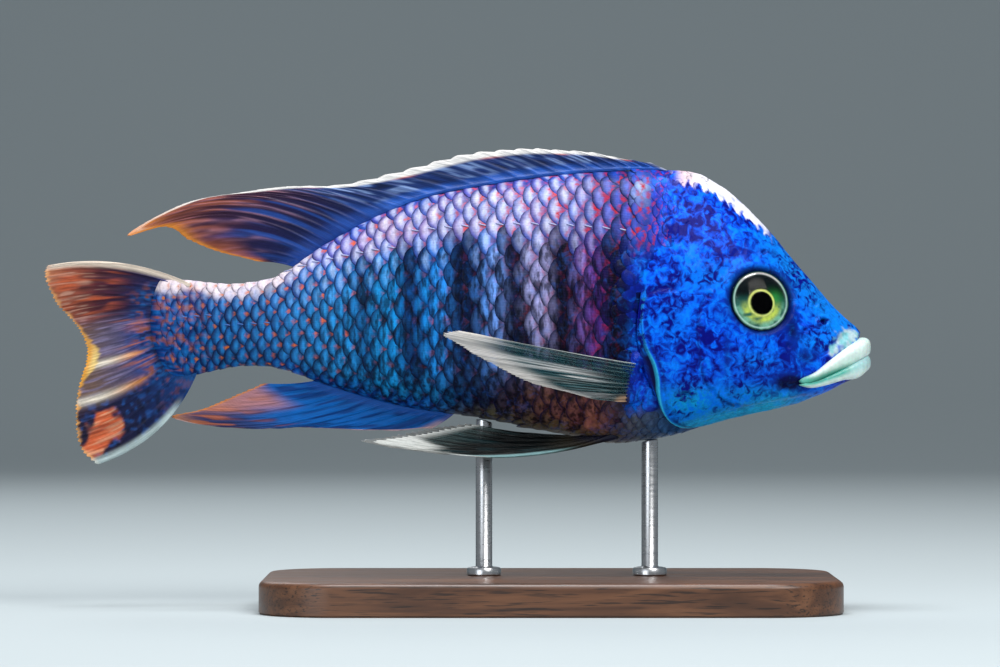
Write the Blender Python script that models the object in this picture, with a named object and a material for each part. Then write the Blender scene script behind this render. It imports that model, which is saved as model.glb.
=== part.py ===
"""Peacock cichlid, a male in colour, as a life-size display model on two rods and a base.

The fish faces +X, its left is +Y, and +Z is up. The origin is on the table, under the middle of
the fish's length. The fish is modelled in millimetres about its own axis, which an empty lifts
to its height over the table. "Along" is the distance back from the tip of the lips, and "up" is
the height over the fish's axis.
"""

import math

import bmesh
import bpy
import numpy as np
from mathutils import Vector

MM = 0.001
RIGHT, LEFT = -1, 1
GAP = 0.3

TOTAL_LENGTH = 150.0
SNOUT_X = TOTAL_LENGTH / 2
AXIS_HEIGHT = 50.0

# The body's outline, as (along, up) stations, and its half widths, as (along, half width)
BACK = (
    (1.6, -0.4), (2.4, 0.7), (4.7, 2.7), (6.6, 4.6), (12.9, 11.9), (22.0, 22.2), (26.5, 26.1),
    (31.0, 28.6), (38.0, 29.4), (49.0, 29.2), (67.0, 27.2), (85.3, 23.0), (99.8, 15.5), (107.1, 10.6),
    (114.3, 9.0), (124.5, 9.7),
)
BELLY = (
    (2.4, -8.1), (11.9, -12.4), (23.8, -15.1), (38.3, -19.0), (46.0, -20.1), (56.4, -18.3),
    (70.9, -15.6), (85.3, -13.3), (99.8, -9.2), (107.1, -6.7), (113.0, -6.2), (124.5, -8.2),
)
WIDEST = ((2.4, -4.6), (12.9, -2.5), (22.0, -2.0), (38.0, -0.5), (56.0, 1.0), (99.8, 2.0), (124.5, 0.8))
HALF_WIDTH = (
    (2.4, 3.2), (6.6, 5.2), (12.9, 7.4), (20.0, 9.5), (30.0, 11.4), (42.0, 12.3), (56.0, 12.0),
    (71.0, 10.4), (85.3, 8.3), (99.8, 5.9), (114.3, 3.4), (124.5, 1.9),
)
BACK_FULLNESS = 1.85
BELLY_FULLNESS = 2.15

# Where the body is parted, as (degrees down from the back, along)
SNOUT_END = ((0, 1.9), (90, 3.0), (180, 3.2))
GILL_OPENING = ((0, 36.5), (60, 40.2), (90, 42.3), (118, 39.6), (150, 36.0), (180, 30.0))
TORSO_START = ((0, 36.85), (60, 40.57), (90, 42.65), (118, 40.02), (150, 36.8), (180, 30.8))
TAIL_START = ((0, 107.0), (180, 107.0))
TAIL_END = ((0, 122.5), (90, 124.5), (180, 119.5))
SHOULDER_STEP = 0.6
SHOULDER_FADE = 7.0
BODY_SIDES = 32
HEAD_RINGS, TORSO_RINGS, TAIL_RINGS = 20, 18, 7

GILL_COVER_TOP, GILL_COVER_FOOT = 62.0, 158.0
PREOPERCLE = ((62, 32.0), (90, 29.5), (125, 28.0), (158, 24.5))
GILL_COVER_ROUND = 13.0
GILL_COVER_RISE, GILL_COVER_DEPTH = 0.35, 1.3
GILL_COVER_COLUMNS, GILL_COVER_ROWS = 9, 12
GILL_POCKET_RISE, GILL_POCKET_OVERRUN = 2.0, 2.4

EYE_ALONG, EYE_UP = 19.7, 5.6
EYE_RADIUS = 5.15
EYE_BULGE, EYE_DEPTH = 2.1, 3.6
EYE_SUNK = 0.6

NOSTRIL_ALONG, NOSTRIL_UP = 8.8, 2.0
NOSTRIL_RADIUS, NOSTRIL_DEPTH = 0.5, 0.7

LIP_FRONT, LIP_REACH, LIP_HALF_SPAN = 1.55, 11.8, 5.9
MOUTH_LINE = ((1.5, -4.4), (3.2, -4.7), (5.7, -5.6), (8.2, -7.0), (10.8, -8.5), (13.4, -9.2))
UPPER_LIP_EDGE = ((1.5, -0.8), (5.3, -2.8), (9.2, -6.0), (11.3, -7.5), (13.4, -8.4))
LOWER_LIP_EDGE = ((1.5, -7.9), (5.3, -8.9), (9.2, -9.8), (11.3, -10.1), (13.4, -10.0))
LIP_HALF_THICKNESS = ((1.5, 1.55), (13.4, 0.8))
LIP_STATIONS, LIP_SIDES = 17, 10

# A fin's half thickness between its rays, how far a ray rises over that, and the half thickness at
# the tips. A ray's foot is a share of the space between two rays, and a root or a tip is a share
# of the ray's length. A notch is how far the membrane ends short of the rays' tips.
MEMBRANE_HALF, RAY_RISE, TIP_HALF = 0.26, 0.24, 0.16
FOOT_OF_RAY = 0.27
ROOT_SHARE, TIP_SHARE = 0.2, 0.5
FIN_ROWS = (0.0, 0.08, 0.2, 0.38, 0.58, 0.8, 1.0)
SOFT_NOTCH, SPINE_NOTCH = 0.35, 0.9

# Each median fin's rays: (ray, root along, tip along, tip up, bow), the bow as a share of length
DORSAL_RAYS = (
    (0, 37.6, 40.1, 30.6, 0.05), (4, 45.5, 53.7, 32.9, 0.06), (9, 60.0, 70.9, 32.7, 0.06),
    (15, 83.5, 97.1, 26.7, 0.06), (18, 90.8, 111.6, 25.8, 0.12), (20, 94.8, 125.2, 22.9, 0.22),
    (22, 98.7, 134.6, 17.4, 0.28), (23, 100.2, 127.9, 19.1, 0.24), (24, 101.8, 123.4, 16.6, 0.18),
    (25, 103.4, 118.3, 14.6, 0.12), (26, 105.1, 110.8, 12.8, 0.08),
)
DORSAL_NOTCH = ((0, SPINE_NOTCH), (14, SPINE_NOTCH), (17, SOFT_NOTCH), (26, SOFT_NOTCH))
DORSAL_LEAN, ANAL_LEAN = 6.0, 4.0
ANAL_RAYS = (
    (0, 75.9, 79.5, -17.4, 0.05), (1, 78.1, 86.2, -17.8, 0.06), (2, 80.6, 92.9, -17.7, 0.07),
    (4, 85.7, 108.9, -16.9, 0.1), (6, 90.6, 122.4, -16.6, 0.12), (7, 92.9, 126.8, -15.2, 0.12),
    (8, 95.1, 122.3, -14.2, 0.1), (10, 99.3, 114.3, -11.0, 0.08), (11, 101.5, 110.0, -9.2, 0.06),
)
# The tail fin's rays: (ray, tip along, tip up, bow upwards as a share of length)
CAUDAL_RAYS = (
    (0, 149.6, 12.1, 0.16), (1, 150.0, 10.8, 0.14), (3, 147.8, 5.3, 0.1), (5, 144.2, 1.3, 0.05),
    (7, 142.2, -2.8, 0.0), (8, 142.2, -5.0, -0.03), (10, 143.6, -10.2, -0.09), (12, 144.0, -15.7, -0.16),
    (14, 142.7, -21.5, -0.2), (15, 140.2, -24.0, -0.24),
)
MEDIAN_ROOT_HALF, CAUDAL_ROOT_HALF, PAIRED_ROOT_HALF = 0.8, 1.1, 0.6
CAUDAL_MARGIN = 0.6
CAUDAL_SWAY, CAUDAL_SHIFT = 2.2, 0.4

# Each paired fin's rays: (ray, tip along, tip up, tip out from the midplane)
PECTORAL_RAYS = (
    (0, 72.7, -0.1, 17.4), (1, 75.6, 0.3, 17.8), (2, 77.6, -0.4, 17.8), (3, 75.4, -1.7, 17.0),
    (5, 70.5, -4.6, 15.8), (7, 65.1, -7.5, 14.6), (9, 58.6, -9.9, 13.2), (11, 51.5, -11.3, 12.2),
)
PECTORAL_ROOT = ((0, 43.2, -5.4), (11, 44.6, -11.9))
PECTORAL_LIFT = 3.4
PELVIC_RAYS = (
    (0, 77.5, -21.6, 7.8), (1, 89.8, -19.8, 7.4), (2, 85.3, -18.9, 6.4), (3, 80.8, -18.1, 5.4),
    (4, 76.6, -17.3, 4.6), (5, 71.8, -16.6, 3.9),
)
PELVIC_ROOT = ((0, 46.8, 157), (5, 51.6, 166))
PELVIC_BOW = ((0, 4.6), (1, 5.2), (5, 1.2))
LEFT_PELVIC_STRETCH = 1.06

BASE_LENGTH, BASE_WIDTH, BASE_HEIGHT = 104.0, 60.0, 6.0
BASE_X = 17.0
BASE_CORNER, BASE_EDGE = 14.0, 1.2
ROD_RADIUS, ROD_SIDES = 1.5, 16
ROD_ALONG = (40.0, 70.0)

SKIN_BLUE = (0.02, 0.09, 0.62)
FLANK_BLUE = (0.05, 0.13, 0.42)
TAIL_BLUE = (0.03, 0.2, 0.5)
FIN_BLUE = (0.03, 0.06, 0.3)
FIN_RUST = (0.5, 0.14, 0.06)
FIN_CLEAR = (0.28, 0.36, 0.36)
LIP_WHITE = (0.7, 0.86, 0.82)
EYE_DARK = (0.04, 0.1, 0.07)
WALNUT = (0.09, 0.045, 0.025)
STEEL = (0.6, 0.6, 0.62)
SHARP_DEGREES = 40


def clear_scene():
    for obj in list(bpy.data.objects):
        bpy.data.objects.remove(obj)


def smooth_line(stations):
    """A smooth curve through (place, value) stations, as a function of place."""
    at, value = (np.array(column, float) for column in zip(*stations))
    slope = np.gradient(value, at)

    def value_at(place):
        place = min(max(place, at[0]), at[-1])
        i = int(np.clip(np.searchsorted(at, place) - 1, 0, len(at) - 2))
        width = at[i + 1] - at[i]
        t = (place - at[i]) / width
        ends = value[i] * (1 + 2 * t) * (1 - t) ** 2 + value[i + 1] * t * t * (3 - 2 * t)
        return float(ends + width * t * (1 - t) * (slope[i] * (1 - t) - slope[i + 1] * t))

    return value_at


def smooth_columns(rows):
    """Rows of (place, value, value, ...) as a function of place that gives the list of values."""
    lines = [smooth_line([(row[0], row[k]) for row in rows]) for k in range(1, len(rows[0]))]
    return lambda place: [line(place) for line in lines]


back_at, belly_at, widest_at, half_width_at = map(smooth_line, (BACK, BELLY, WIDEST, HALF_WIDTH))


def skin_point(along, angle, side=RIGHT, grow=0.0):
    """The skin's point at an angle down from the back, in radians, moved outwards by grow."""
    middle = widest_at(along)
    if angle <= math.pi / 2:
        height, power = back_at(along) - middle, 2 / BACK_FULLNESS
    else:
        height, power = middle - belly_at(along), 2 / BELLY_FULLNESS
    out = (half_width_at(along) + grow) * abs(math.sin(angle)) ** power
    rise = math.copysign((height + grow) * abs(math.cos(angle)) ** power, math.cos(angle))
    return Vector((SNOUT_X - along, side * out, middle + rise))


def angle_at_height(along, up):
    """The angle down from the back at which the skin is at this height."""
    middle = widest_at(along)
    if up >= middle:
        share = (up - middle) / (back_at(along) - middle)
        return math.acos(min(1.0, share) ** (BACK_FULLNESS / 2))
    share = (middle - up) / (middle - belly_at(along))
    return math.pi - math.acos(min(1.0, share) ** (BELLY_FULLNESS / 2))


def skin_normal(along, angle, side=RIGHT):
    step_along, step_angle = 0.5, 0.02
    lengthwise = skin_point(along + step_along, angle, side) - skin_point(along - step_along, angle, side)
    around = skin_point(along, angle + step_angle, side) - skin_point(along, angle - step_angle, side)
    normal = lengthwise.cross(around).normalized()
    return normal if normal.y * side > 0 else -normal


def material(name, colour, roughness=0.4, metallic=0.0):
    made = bpy.data.materials.new(name)
    made.use_nodes = True
    shader = made.node_tree.nodes["Principled BSDF"]
    shader.inputs["Base Color"].default_value = (*colour, 1.0)
    shader.inputs["Roughness"].default_value = roughness
    shader.inputs["Metallic"].default_value = metallic
    return made


def solid(name, points, faces, parent, made_of=None, origin=(0.0, 0.0, 0.0)):
    """One closed object from points in millimetres. Without a material it is a hidden cutter."""
    bm = bmesh.new()
    origin = Vector(origin)
    corners = [bm.verts.new((Vector(p) - origin) * MM) for p in points]
    for face in faces:
        bm.faces.new([corners[i] for i in face])
    bmesh.ops.recalc_face_normals(bm, faces=bm.faces)
    mesh = bpy.data.meshes.new(name)
    bm.to_mesh(mesh)
    bm.free()
    mesh.shade_smooth()
    mesh.set_sharp_from_angle(angle=math.radians(SHARP_DEGREES))
    obj = bpy.data.objects.new(name, mesh)
    bpy.context.scene.collection.objects.link(obj)
    obj.location = origin * MM
    obj.parent = parent
    if made_of:
        mesh.materials.append(made_of)
    else:
        obj.hide_render = True
        obj.display_type = "WIRE"
    return obj


def cut(obj, cutter):
    modifier = obj.modifiers.new(cutter.name, "BOOLEAN")
    modifier.operation = "DIFFERENCE"
    modifier.object = cutter


def body_length(name, start, end, rings, parent, made_of, shoulder=0.0, ends_closer=1.0):
    """A length of the body between two lines round it, each an (angle, along) outline."""
    start_at, end_at = smooth_line(start), smooth_line(end)
    half = BODY_SIDES // 2
    points = []
    for ring in range(rings + 1):
        share = (ring / rings) ** ends_closer
        for k in range(BODY_SIDES):
            turn = k if k <= half else BODY_SIDES - k
            degrees = 180 * turn / half
            begin = start_at(degrees)
            along = begin + share * (end_at(degrees) - begin)
            sunk = shoulder * max(0.0, 1 - (along - begin) / SHOULDER_FADE) ** 2
            point = skin_point(along, math.radians(degrees), RIGHT if k <= half else LEFT)
            point.y *= 1 - sunk / half_width_at(along)
            points.append(point)
    faces = []
    for ring in range(rings):
        for k in range(BODY_SIDES):
            a, b = ring * BODY_SIDES + k, ring * BODY_SIDES + (k + 1) % BODY_SIDES
            faces.append((a, b, b + BODY_SIDES, a + BODY_SIDES))
    for first in (0, rings * BODY_SIDES):
        faces.append((first, first + 1, first + BODY_SIDES - 1))
        faces.append((first + half, first + half + 1, first + half - 1))
        for k in range(1, half - 1):
            faces.append((first + k, first + k + 1, first + BODY_SIDES - k - 1, first + BODY_SIDES - k))
    return solid(name, points, faces, parent, made_of)


def sheet_faces(columns, rows):
    """Faces of a closed sheet: the front's points, then the back's, split alike on both."""
    back = columns * rows
    faces = []
    for c in range(columns - 1):
        for r in range(rows - 1):
            a, b = c * rows + r, (c + 1) * rows + r
            faces += [(a, b, b + 1), (a, b + 1, a + 1)]
            faces += [(back + a, back + b + 1, back + b), (back + a, back + a + 1, back + b + 1)]
        for r in (0, rows - 1):
            a, b = c * rows + r, (c + 1) * rows + r
            faces.append((a, back + a, back + b, b))
    for c in (0, columns - 1):
        for r in range(rows - 1):
            a = c * rows + r
            faces.append((a, a + 1, back + a + 1, back + a))
    return faces


def fin_columns(rays):
    """Places across a fin, in rays, each with whether it is on a ray's crest or at its foot."""
    columns = []
    for ray in range(rays):
        for step in (-FOOT_OF_RAY, 0.0, FOOT_OF_RAY):
            if 0 <= ray + step <= rays - 1:
                columns.append((ray + step, step == 0.0))
    return columns


def sheet_normal(sheet, rays, place, share):
    step = 0.02
    low, high = max(place - step, 0.0), min(place + step, rays - 1)
    across = sheet(high, share) - sheet(low, share)
    outwards = sheet(place, min(share + step, 1.0)) - sheet(place, max(share - step, 0.0))
    return across.cross(outwards).normalized()


def half_thickness(on_ray, share, root_half):
    half = MEMBRANE_HALF + (RAY_RISE if on_ray else 0.0)
    half += (root_half - MEMBRANE_HALF) * max(0.0, 1 - share / ROOT_SHARE) ** 2
    return half + (TIP_HALF - half) * max(0.0, (share - TIP_SHARE) / (1 - TIP_SHARE)) ** 2


def fin(name, sheet, rays, parent, made_of, root_half=PAIRED_ROOT_HALF, notch=SOFT_NOTCH):
    """A fin of rays joined by a membrane. sheet(ray, share) gives the middle of the fin."""
    notch_at = smooth_line(notch) if isinstance(notch, tuple) else lambda place: notch
    columns = fin_columns(rays)
    front, back = [], []
    for place, on_ray in columns:
        length = (sheet(place, 1.0) - sheet(place, 0.0)).length
        reach = 1.0 if on_ray else 1.0 - notch_at(place) / length
        for row in FIN_ROWS:
            share = row * reach
            rise = sheet_normal(sheet, rays, place, share) * half_thickness(on_ray, share, root_half)
            front.append(sheet(place, share) + rise)
            back.append(sheet(place, share) - rise)
    faces = sheet_faces(len(columns), len(FIN_ROWS))
    return solid(name, front + back, faces, parent, made_of, sheet(0.0, 0.0))


def bent(root, control, tip, share):
    """A point of the parabola that leaves root towards control and ends at tip."""
    return root * (1 - share) ** 2 + control * 2 * share * (1 - share) + tip * share**2


def bowed(root, tip, bow, share):
    """A ray in the midplane, bowed upwards by a share of its length."""
    run = tip - root
    upwards = Vector((run.z, 0.0, -run.x)).normalized()
    return bent(root, (root + tip) / 2 + upwards * bow * run.length, tip, share)


def median_sheet(rays, edge_at, outwards, lean):
    """The sheet of a dorsal or anal fin, rooted on the edge of the body, leaning by lean."""
    values = smooth_columns(rays)

    def sheet(place, share):
        root_along, tip_along, tip_up, bow = values(place)
        root = Vector((SNOUT_X - root_along, 0.0, edge_at(root_along) + outwards * GAP))
        tip = Vector((SNOUT_X - tip_along, 0.0, tip_up))
        point = bowed(root, tip, bow * outwards, share)
        point.y = lean * share**2 * (tip - root).length / TOTAL_LENGTH
        return point

    return sheet


def tail_end_at(up):
    """How far along the tail ends at this height."""
    end_at = smooth_line(TAIL_END)
    along = end_at(90)
    for _ in range(4):
        along = end_at(math.degrees(angle_at_height(along, up)))
    return along


def caudal_sheet(place, share):
    last = CAUDAL_RAYS[-1][0]
    tip_along, tip_up, bow = smooth_columns(CAUDAL_RAYS)(place)
    top = back_at(TAIL_END[0][1]) - CAUDAL_MARGIN
    foot = belly_at(TAIL_END[-1][1]) + CAUDAL_MARGIN
    root_up = top + (foot - top) * place / last
    root = Vector((SNOUT_X - tail_end_at(root_up) - GAP, 0.0, root_up))
    tip = Vector((SNOUT_X - tip_along, 0.0, tip_up))
    point = bowed(root, tip, bow, share)
    turn = math.sin(math.pi * (place / last - 0.5))
    point.y = CAUDAL_SWAY * share**2 * (CAUDAL_SHIFT - turn)
    return point


def pectoral_sheet(side):
    tips, roots = smooth_columns(PECTORAL_RAYS), smooth_columns(PECTORAL_ROOT)

    def sheet(place, share):
        along, up = roots(place)
        angle = angle_at_height(along, up)
        outwards = skin_normal(along, angle, side)
        root = skin_point(along, angle, side) + outwards * GAP
        tip_along, tip_up, tip_out = tips(place)
        tip = Vector((SNOUT_X - tip_along, side * tip_out, tip_up))
        return bent(root, root + outwards * PECTORAL_LIFT, tip, share)

    return sheet


def pelvic_sheet(side):
    tips, roots, bow_at = smooth_columns(PELVIC_RAYS), smooth_columns(PELVIC_ROOT), smooth_line(PELVIC_BOW)
    stretch = LEFT_PELVIC_STRETCH if side == LEFT else 1.0

    def sheet(place, share):
        along, degrees = roots(place)
        angle = math.radians(degrees)
        outwards = skin_normal(along, angle, side)
        root = skin_point(along, angle, side) + outwards * (GAP + PAIRED_ROOT_HALF)
        tip_along, tip_up, tip_out = tips(place)
        tip = Vector((SNOUT_X - tip_along, side * tip_out, tip_up))
        tip = root + (tip - root) * stretch
        return bent(root, (root + tip) / 2 + outwards * bow_at(place), tip, share)

    return sheet


def gill_cover(name, side, parent, made_of=None, margin=0.0):
    """The plate over the gills. A margin makes the cutter of the pocket that it lies in."""
    front_at, rear_at = smooth_line(PREOPERCLE), smooth_line(GILL_OPENING)
    overrun = GILL_POCKET_OVERRUN if margin else 0.0
    margin_degrees = math.degrees(margin / half_width_at(PREOPERCLE[0][1]))
    front, back = [], []
    for column in range(GILL_COVER_COLUMNS):
        share = column / (GILL_COVER_COLUMNS - 1)
        rounded = GILL_COVER_ROUND * (1 - share) ** 2 - margin_degrees
        top, foot = GILL_COVER_TOP + rounded, GILL_COVER_FOOT - rounded
        for row in range(GILL_COVER_ROWS):
            down = row / (GILL_COVER_ROWS - 1)
            degrees = top + (foot - top) * down
            begin, end = front_at(degrees) - margin, rear_at(degrees) + overrun
            along = begin + share * (end - begin)
            rise = GILL_POCKET_RISE if margin else GILL_COVER_RISE * math.sin(math.pi * down) * share
            front.append(skin_point(along, math.radians(degrees), side, rise))
            back.append(skin_point(along, math.radians(degrees), side, -GILL_COVER_DEPTH - margin))
    return solid(name, front + back, sheet_faces(GILL_COVER_COLUMNS, GILL_COVER_ROWS), parent, made_of)


def lip(name, edge, parent, made_of=None, margin=0.0):
    """A lip round the mouth, from its outer edge to the mouth line. A margin makes its cutter."""
    edge_at, line_at, thick_at = map(smooth_line, (edge, MOUTH_LINE, LIP_HALF_THICKNESS))
    points = []
    for station in range(LIP_STATIONS):
        turn = math.pi * (station / (LIP_STATIONS - 1) - 0.5)
        along = LIP_FRONT + LIP_REACH * (1 - math.cos(turn))
        centre_out = LIP_HALF_SPAN * math.sin(turn)
        ahead = Vector((LIP_HALF_SPAN * math.cos(turn), LIP_REACH * math.sin(turn), 0.0)).normalized()
        edge_up, line_up = edge_at(along), line_at(along)
        line_up += math.copysign(GAP / 2, edge_up - line_up)
        half_height = abs(edge_up - line_up) / 2 + margin
        half_thick = thick_at(along) + margin
        for k in range(LIP_SIDES):
            round_it = 2 * math.pi * k / LIP_SIDES
            centre = Vector((SNOUT_X - along, centre_out, (edge_up + line_up) / 2))
            point = centre + ahead * half_thick * math.cos(round_it)
            point.z += half_height * math.sin(round_it)
            points.append(point)
    faces = [tuple(range(LIP_SIDES)), tuple(range(len(points) - LIP_SIDES, len(points)))]
    for station in range(LIP_STATIONS - 1):
        for k in range(LIP_SIDES):
            a = station * LIP_SIDES + k
            b = station * LIP_SIDES + (k + 1) % LIP_SIDES
            faces.append((a, b, b + LIP_SIDES, a + LIP_SIDES))
    return solid(name, points, faces, parent, made_of)


def ball(name, centre, axis, radius, bulge, depth, parent, made_of=None, segments=20, rings=10):
    """A round body squashed along an axis: bulge is its half depth outwards and depth inwards."""
    turn = Vector((0.0, 0.0, 1.0)).rotation_difference(axis)
    points = [centre + turn @ Vector((0.0, 0.0, bulge))]
    for ring in range(1, rings):
        tilt = math.pi * ring / rings
        height = math.cos(tilt) * (bulge if ring < rings / 2 else depth)
        for k in range(segments):
            way = 2 * math.pi * k / segments
            out = radius * math.sin(tilt)
            points.append(centre + turn @ Vector((out * math.cos(way), out * math.sin(way), height)))
    points.append(centre - turn @ Vector((0.0, 0.0, depth)))
    faces = []
    last = len(points) - 1
    for k in range(segments):
        after = (k + 1) % segments
        faces.append((0, 1 + k, 1 + after))
        for ring in range(rings - 2):
            a, b = 1 + ring * segments + k, 1 + ring * segments + after
            faces.append((a, a + segments, b + segments, b))
        a, b = last - segments + k, last - segments + after
        faces.append((a, last, b))
    return solid(name, points, faces, parent, made_of, centre)


def eye(name, side, parent, made_of=None, margin=0.0):
    angle = angle_at_height(EYE_ALONG, EYE_UP)
    axis = skin_normal(EYE_ALONG, angle, side)
    centre = skin_point(EYE_ALONG, angle, side) - axis * EYE_SUNK
    sizes = (EYE_RADIUS + margin, EYE_BULGE + margin, EYE_DEPTH + margin)
    return ball(name, centre, axis, *sizes, parent, made_of)


def nostril(name, side, parent):
    angle = angle_at_height(NOSTRIL_ALONG, NOSTRIL_UP)
    axis = skin_normal(NOSTRIL_ALONG, angle, side)
    centre = skin_point(NOSTRIL_ALONG, angle, side)
    return ball(name, centre, axis, NOSTRIL_RADIUS, 1.0, NOSTRIL_DEPTH, parent, segments=8, rings=4)


def rod(name, along, parent, made_of):
    """A rod from the base up to the belly, its top shaped to the skin over it."""
    points = []
    foot = BASE_HEIGHT + GAP
    for level in ("foot", "top"):
        for k in range(ROD_SIDES):
            way = 2 * math.pi * k / ROD_SIDES
            place, out = along + ROD_RADIUS * math.cos(way), ROD_RADIUS * math.sin(way)
            share = abs(out) / half_width_at(place)
            middle = widest_at(place)
            drop = (middle - belly_at(place)) * (1 - share**BELLY_FULLNESS) ** (1 / BELLY_FULLNESS)
            top = AXIS_HEIGHT + middle - drop - GAP
            points.append(Vector((SNOUT_X - place, out, foot if level == "foot" else top)))
    faces = [tuple(range(ROD_SIDES)), tuple(range(ROD_SIDES, 2 * ROD_SIDES))]
    for k in range(ROD_SIDES):
        after = (k + 1) % ROD_SIDES
        faces.append((k, after, after + ROD_SIDES, k + ROD_SIDES))
    return solid(name, points, faces, parent, made_of, (SNOUT_X - along, 0.0, foot))


def base(name, parent, made_of):
    """A flat plate with round corners and a softened upper edge, which stands on the table."""
    outline = []
    steps = 6
    for quarter in range(4):
        across = 1 if quarter in (0, 3) else -1
        up = 1 if quarter < 2 else -1
        for k in range(steps + 1):
            way = math.pi / 2 * (quarter + k / steps)
            outline.append((
                across * (BASE_LENGTH / 2 - BASE_CORNER) + BASE_CORNER * math.cos(way),
                up * (BASE_WIDTH / 2 - BASE_CORNER) + BASE_CORNER * math.sin(way),
            ))
    points = []
    for height, inset in ((0.0, 0.0), (BASE_HEIGHT - BASE_EDGE, 0.0), (BASE_HEIGHT, BASE_EDGE)):
        for x, y in outline:
            scale_x, scale_y = 1 - 2 * inset / BASE_LENGTH, 1 - 2 * inset / BASE_WIDTH
            points.append(Vector((BASE_X + x * scale_x, y * scale_y, height)))
    n = len(outline)
    faces = [tuple(range(n)), tuple(range(2 * n, 3 * n))]
    for level in range(2):
        for k in range(n):
            a, b = level * n + k, level * n + (k + 1) % n
            faces.append((a, b, b + n, a + n))
    return solid(name, points, faces, parent, made_of, (BASE_X, 0.0, 0.0))


def empty(name, height):
    made = bpy.data.objects.new(name, None)
    bpy.context.scene.collection.objects.link(made)
    made.location = (0.0, 0.0, height * MM)
    return made


def make_head(fish):
    blue = material("head_skin", SKIN_BLUE, 0.35)
    white = material("lip_skin", LIP_WHITE, 0.3)
    dark = material("eye", EYE_DARK, 0.08)
    head = body_length("head", SNOUT_END, GILL_OPENING, HEAD_RINGS, fish, blue, ends_closer=1.15)
    for side, word in ((RIGHT, "right"), (LEFT, "left")):
        eye(f"eye_{word}", side, fish, dark)
        cut(head, eye(f"socket_{word}", side, fish, margin=GAP))
        cut(head, nostril(f"nostril_{word}", side, fish))
        gill_cover(f"gill_cover_{word}", side, fish, blue)
        cut(head, gill_cover(f"gill_pocket_{word}", side, fish, margin=GAP))
    for word, edge in (("upper", UPPER_LIP_EDGE), ("lower", LOWER_LIP_EDGE)):
        lip(f"lip_{word}", edge, fish, white)
        cut(head, lip(f"lip_seat_{word}", edge, fish, margin=GAP))


def make_body(fish):
    flank = material("flank_scales", FLANK_BLUE, 0.35)
    blue = material("tail_scales", TAIL_BLUE, 0.35)
    torso_end = [(angle, along - GAP) for angle, along in TAIL_START]
    body_length("torso", TORSO_START, torso_end, TORSO_RINGS, fish, flank, shoulder=SHOULDER_STEP)
    body_length("tail", TAIL_START, TAIL_END, TAIL_RINGS, fish, blue)


def make_fins(fish):
    blue = material("fin_blue", FIN_BLUE, 0.4)
    rust = material("fin_rust", FIN_RUST, 0.4)
    clear = material("fin_clear", FIN_CLEAR, 0.3)
    dorsal = median_sheet(DORSAL_RAYS, back_at, 1, DORSAL_LEAN)
    anal = median_sheet(ANAL_RAYS, belly_at, -1, ANAL_LEAN)
    fin("dorsal_fin", dorsal, DORSAL_RAYS[-1][0] + 1, fish, blue, MEDIAN_ROOT_HALF, DORSAL_NOTCH)
    fin("anal_fin", anal, ANAL_RAYS[-1][0] + 1, fish, blue, MEDIAN_ROOT_HALF)
    fin("caudal_fin", caudal_sheet, CAUDAL_RAYS[-1][0] + 1, fish, rust, CAUDAL_ROOT_HALF)
    for side, word in ((RIGHT, "right"), (LEFT, "left")):
        fin(f"pectoral_fin_{word}", pectoral_sheet(side), PECTORAL_RAYS[-1][0] + 1, fish, clear)
        fin(f"pelvic_fin_{word}", pelvic_sheet(side), PELVIC_RAYS[-1][0] + 1, fish, blue)


def make_stand():
    stand = empty("stand", 0.0)
    base("stand_base", stand, material("walnut", WALNUT, 0.35))
    steel = material("steel", STEEL, 0.25, 1.0)
    for word, along in zip(("front", "rear"), ROD_ALONG):
        rod(f"stand_rod_{word}", along, stand, steel)


clear_scene()
fish_axis = empty("fish", AXIS_HEIGHT)
make_head(fish_axis)
make_body(fish_axis)
make_fins(fish_axis)
make_stand()
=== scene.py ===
"""The looks of a life-size peacock cichlid on its display stand, laid out as an add-on.

Lengths in the code are millimetres about the fish's own axis: "along" is the distance back from
the tip of the lips, "up" the height over the axis, and an angle is counted down from the back.
`place` turns them into the frame's metres. The fish faces +X and its right side faces -Y.
"""

import functools
import math

import bpy
import numpy as np
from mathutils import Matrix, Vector


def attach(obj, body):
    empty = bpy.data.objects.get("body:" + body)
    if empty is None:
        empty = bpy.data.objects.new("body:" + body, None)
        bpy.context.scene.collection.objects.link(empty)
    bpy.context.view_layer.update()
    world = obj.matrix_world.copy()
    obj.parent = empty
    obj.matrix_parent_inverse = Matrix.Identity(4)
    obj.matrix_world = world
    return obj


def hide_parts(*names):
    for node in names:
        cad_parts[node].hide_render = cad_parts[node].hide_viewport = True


bl_info = {
    "name": "Display cichlid",
    "version": (1, 0, 0),
    "blender": (4, 5, 0),
    "location": "View3D > Sidebar > Fish",
    "description": "Skin, scales, fins, eyes, lips, stand and stage of a life-size model fish",
    "category": "Object",
}

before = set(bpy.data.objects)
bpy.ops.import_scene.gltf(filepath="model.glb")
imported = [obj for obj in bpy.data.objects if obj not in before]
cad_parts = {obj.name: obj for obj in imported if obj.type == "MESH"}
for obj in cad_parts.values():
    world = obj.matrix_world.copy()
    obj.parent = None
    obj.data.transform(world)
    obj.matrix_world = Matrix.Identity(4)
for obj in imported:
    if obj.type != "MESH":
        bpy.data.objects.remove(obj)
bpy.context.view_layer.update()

MM = 0.001
RIGHT, LEFT = -1, 1
SIDES = ((RIGHT, "right"), (LEFT, "left"))

TOTAL_LENGTH = 150.0
SNOUT_X = TOTAL_LENGTH / 2
AXIS_HEIGHT = 50.0

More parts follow.
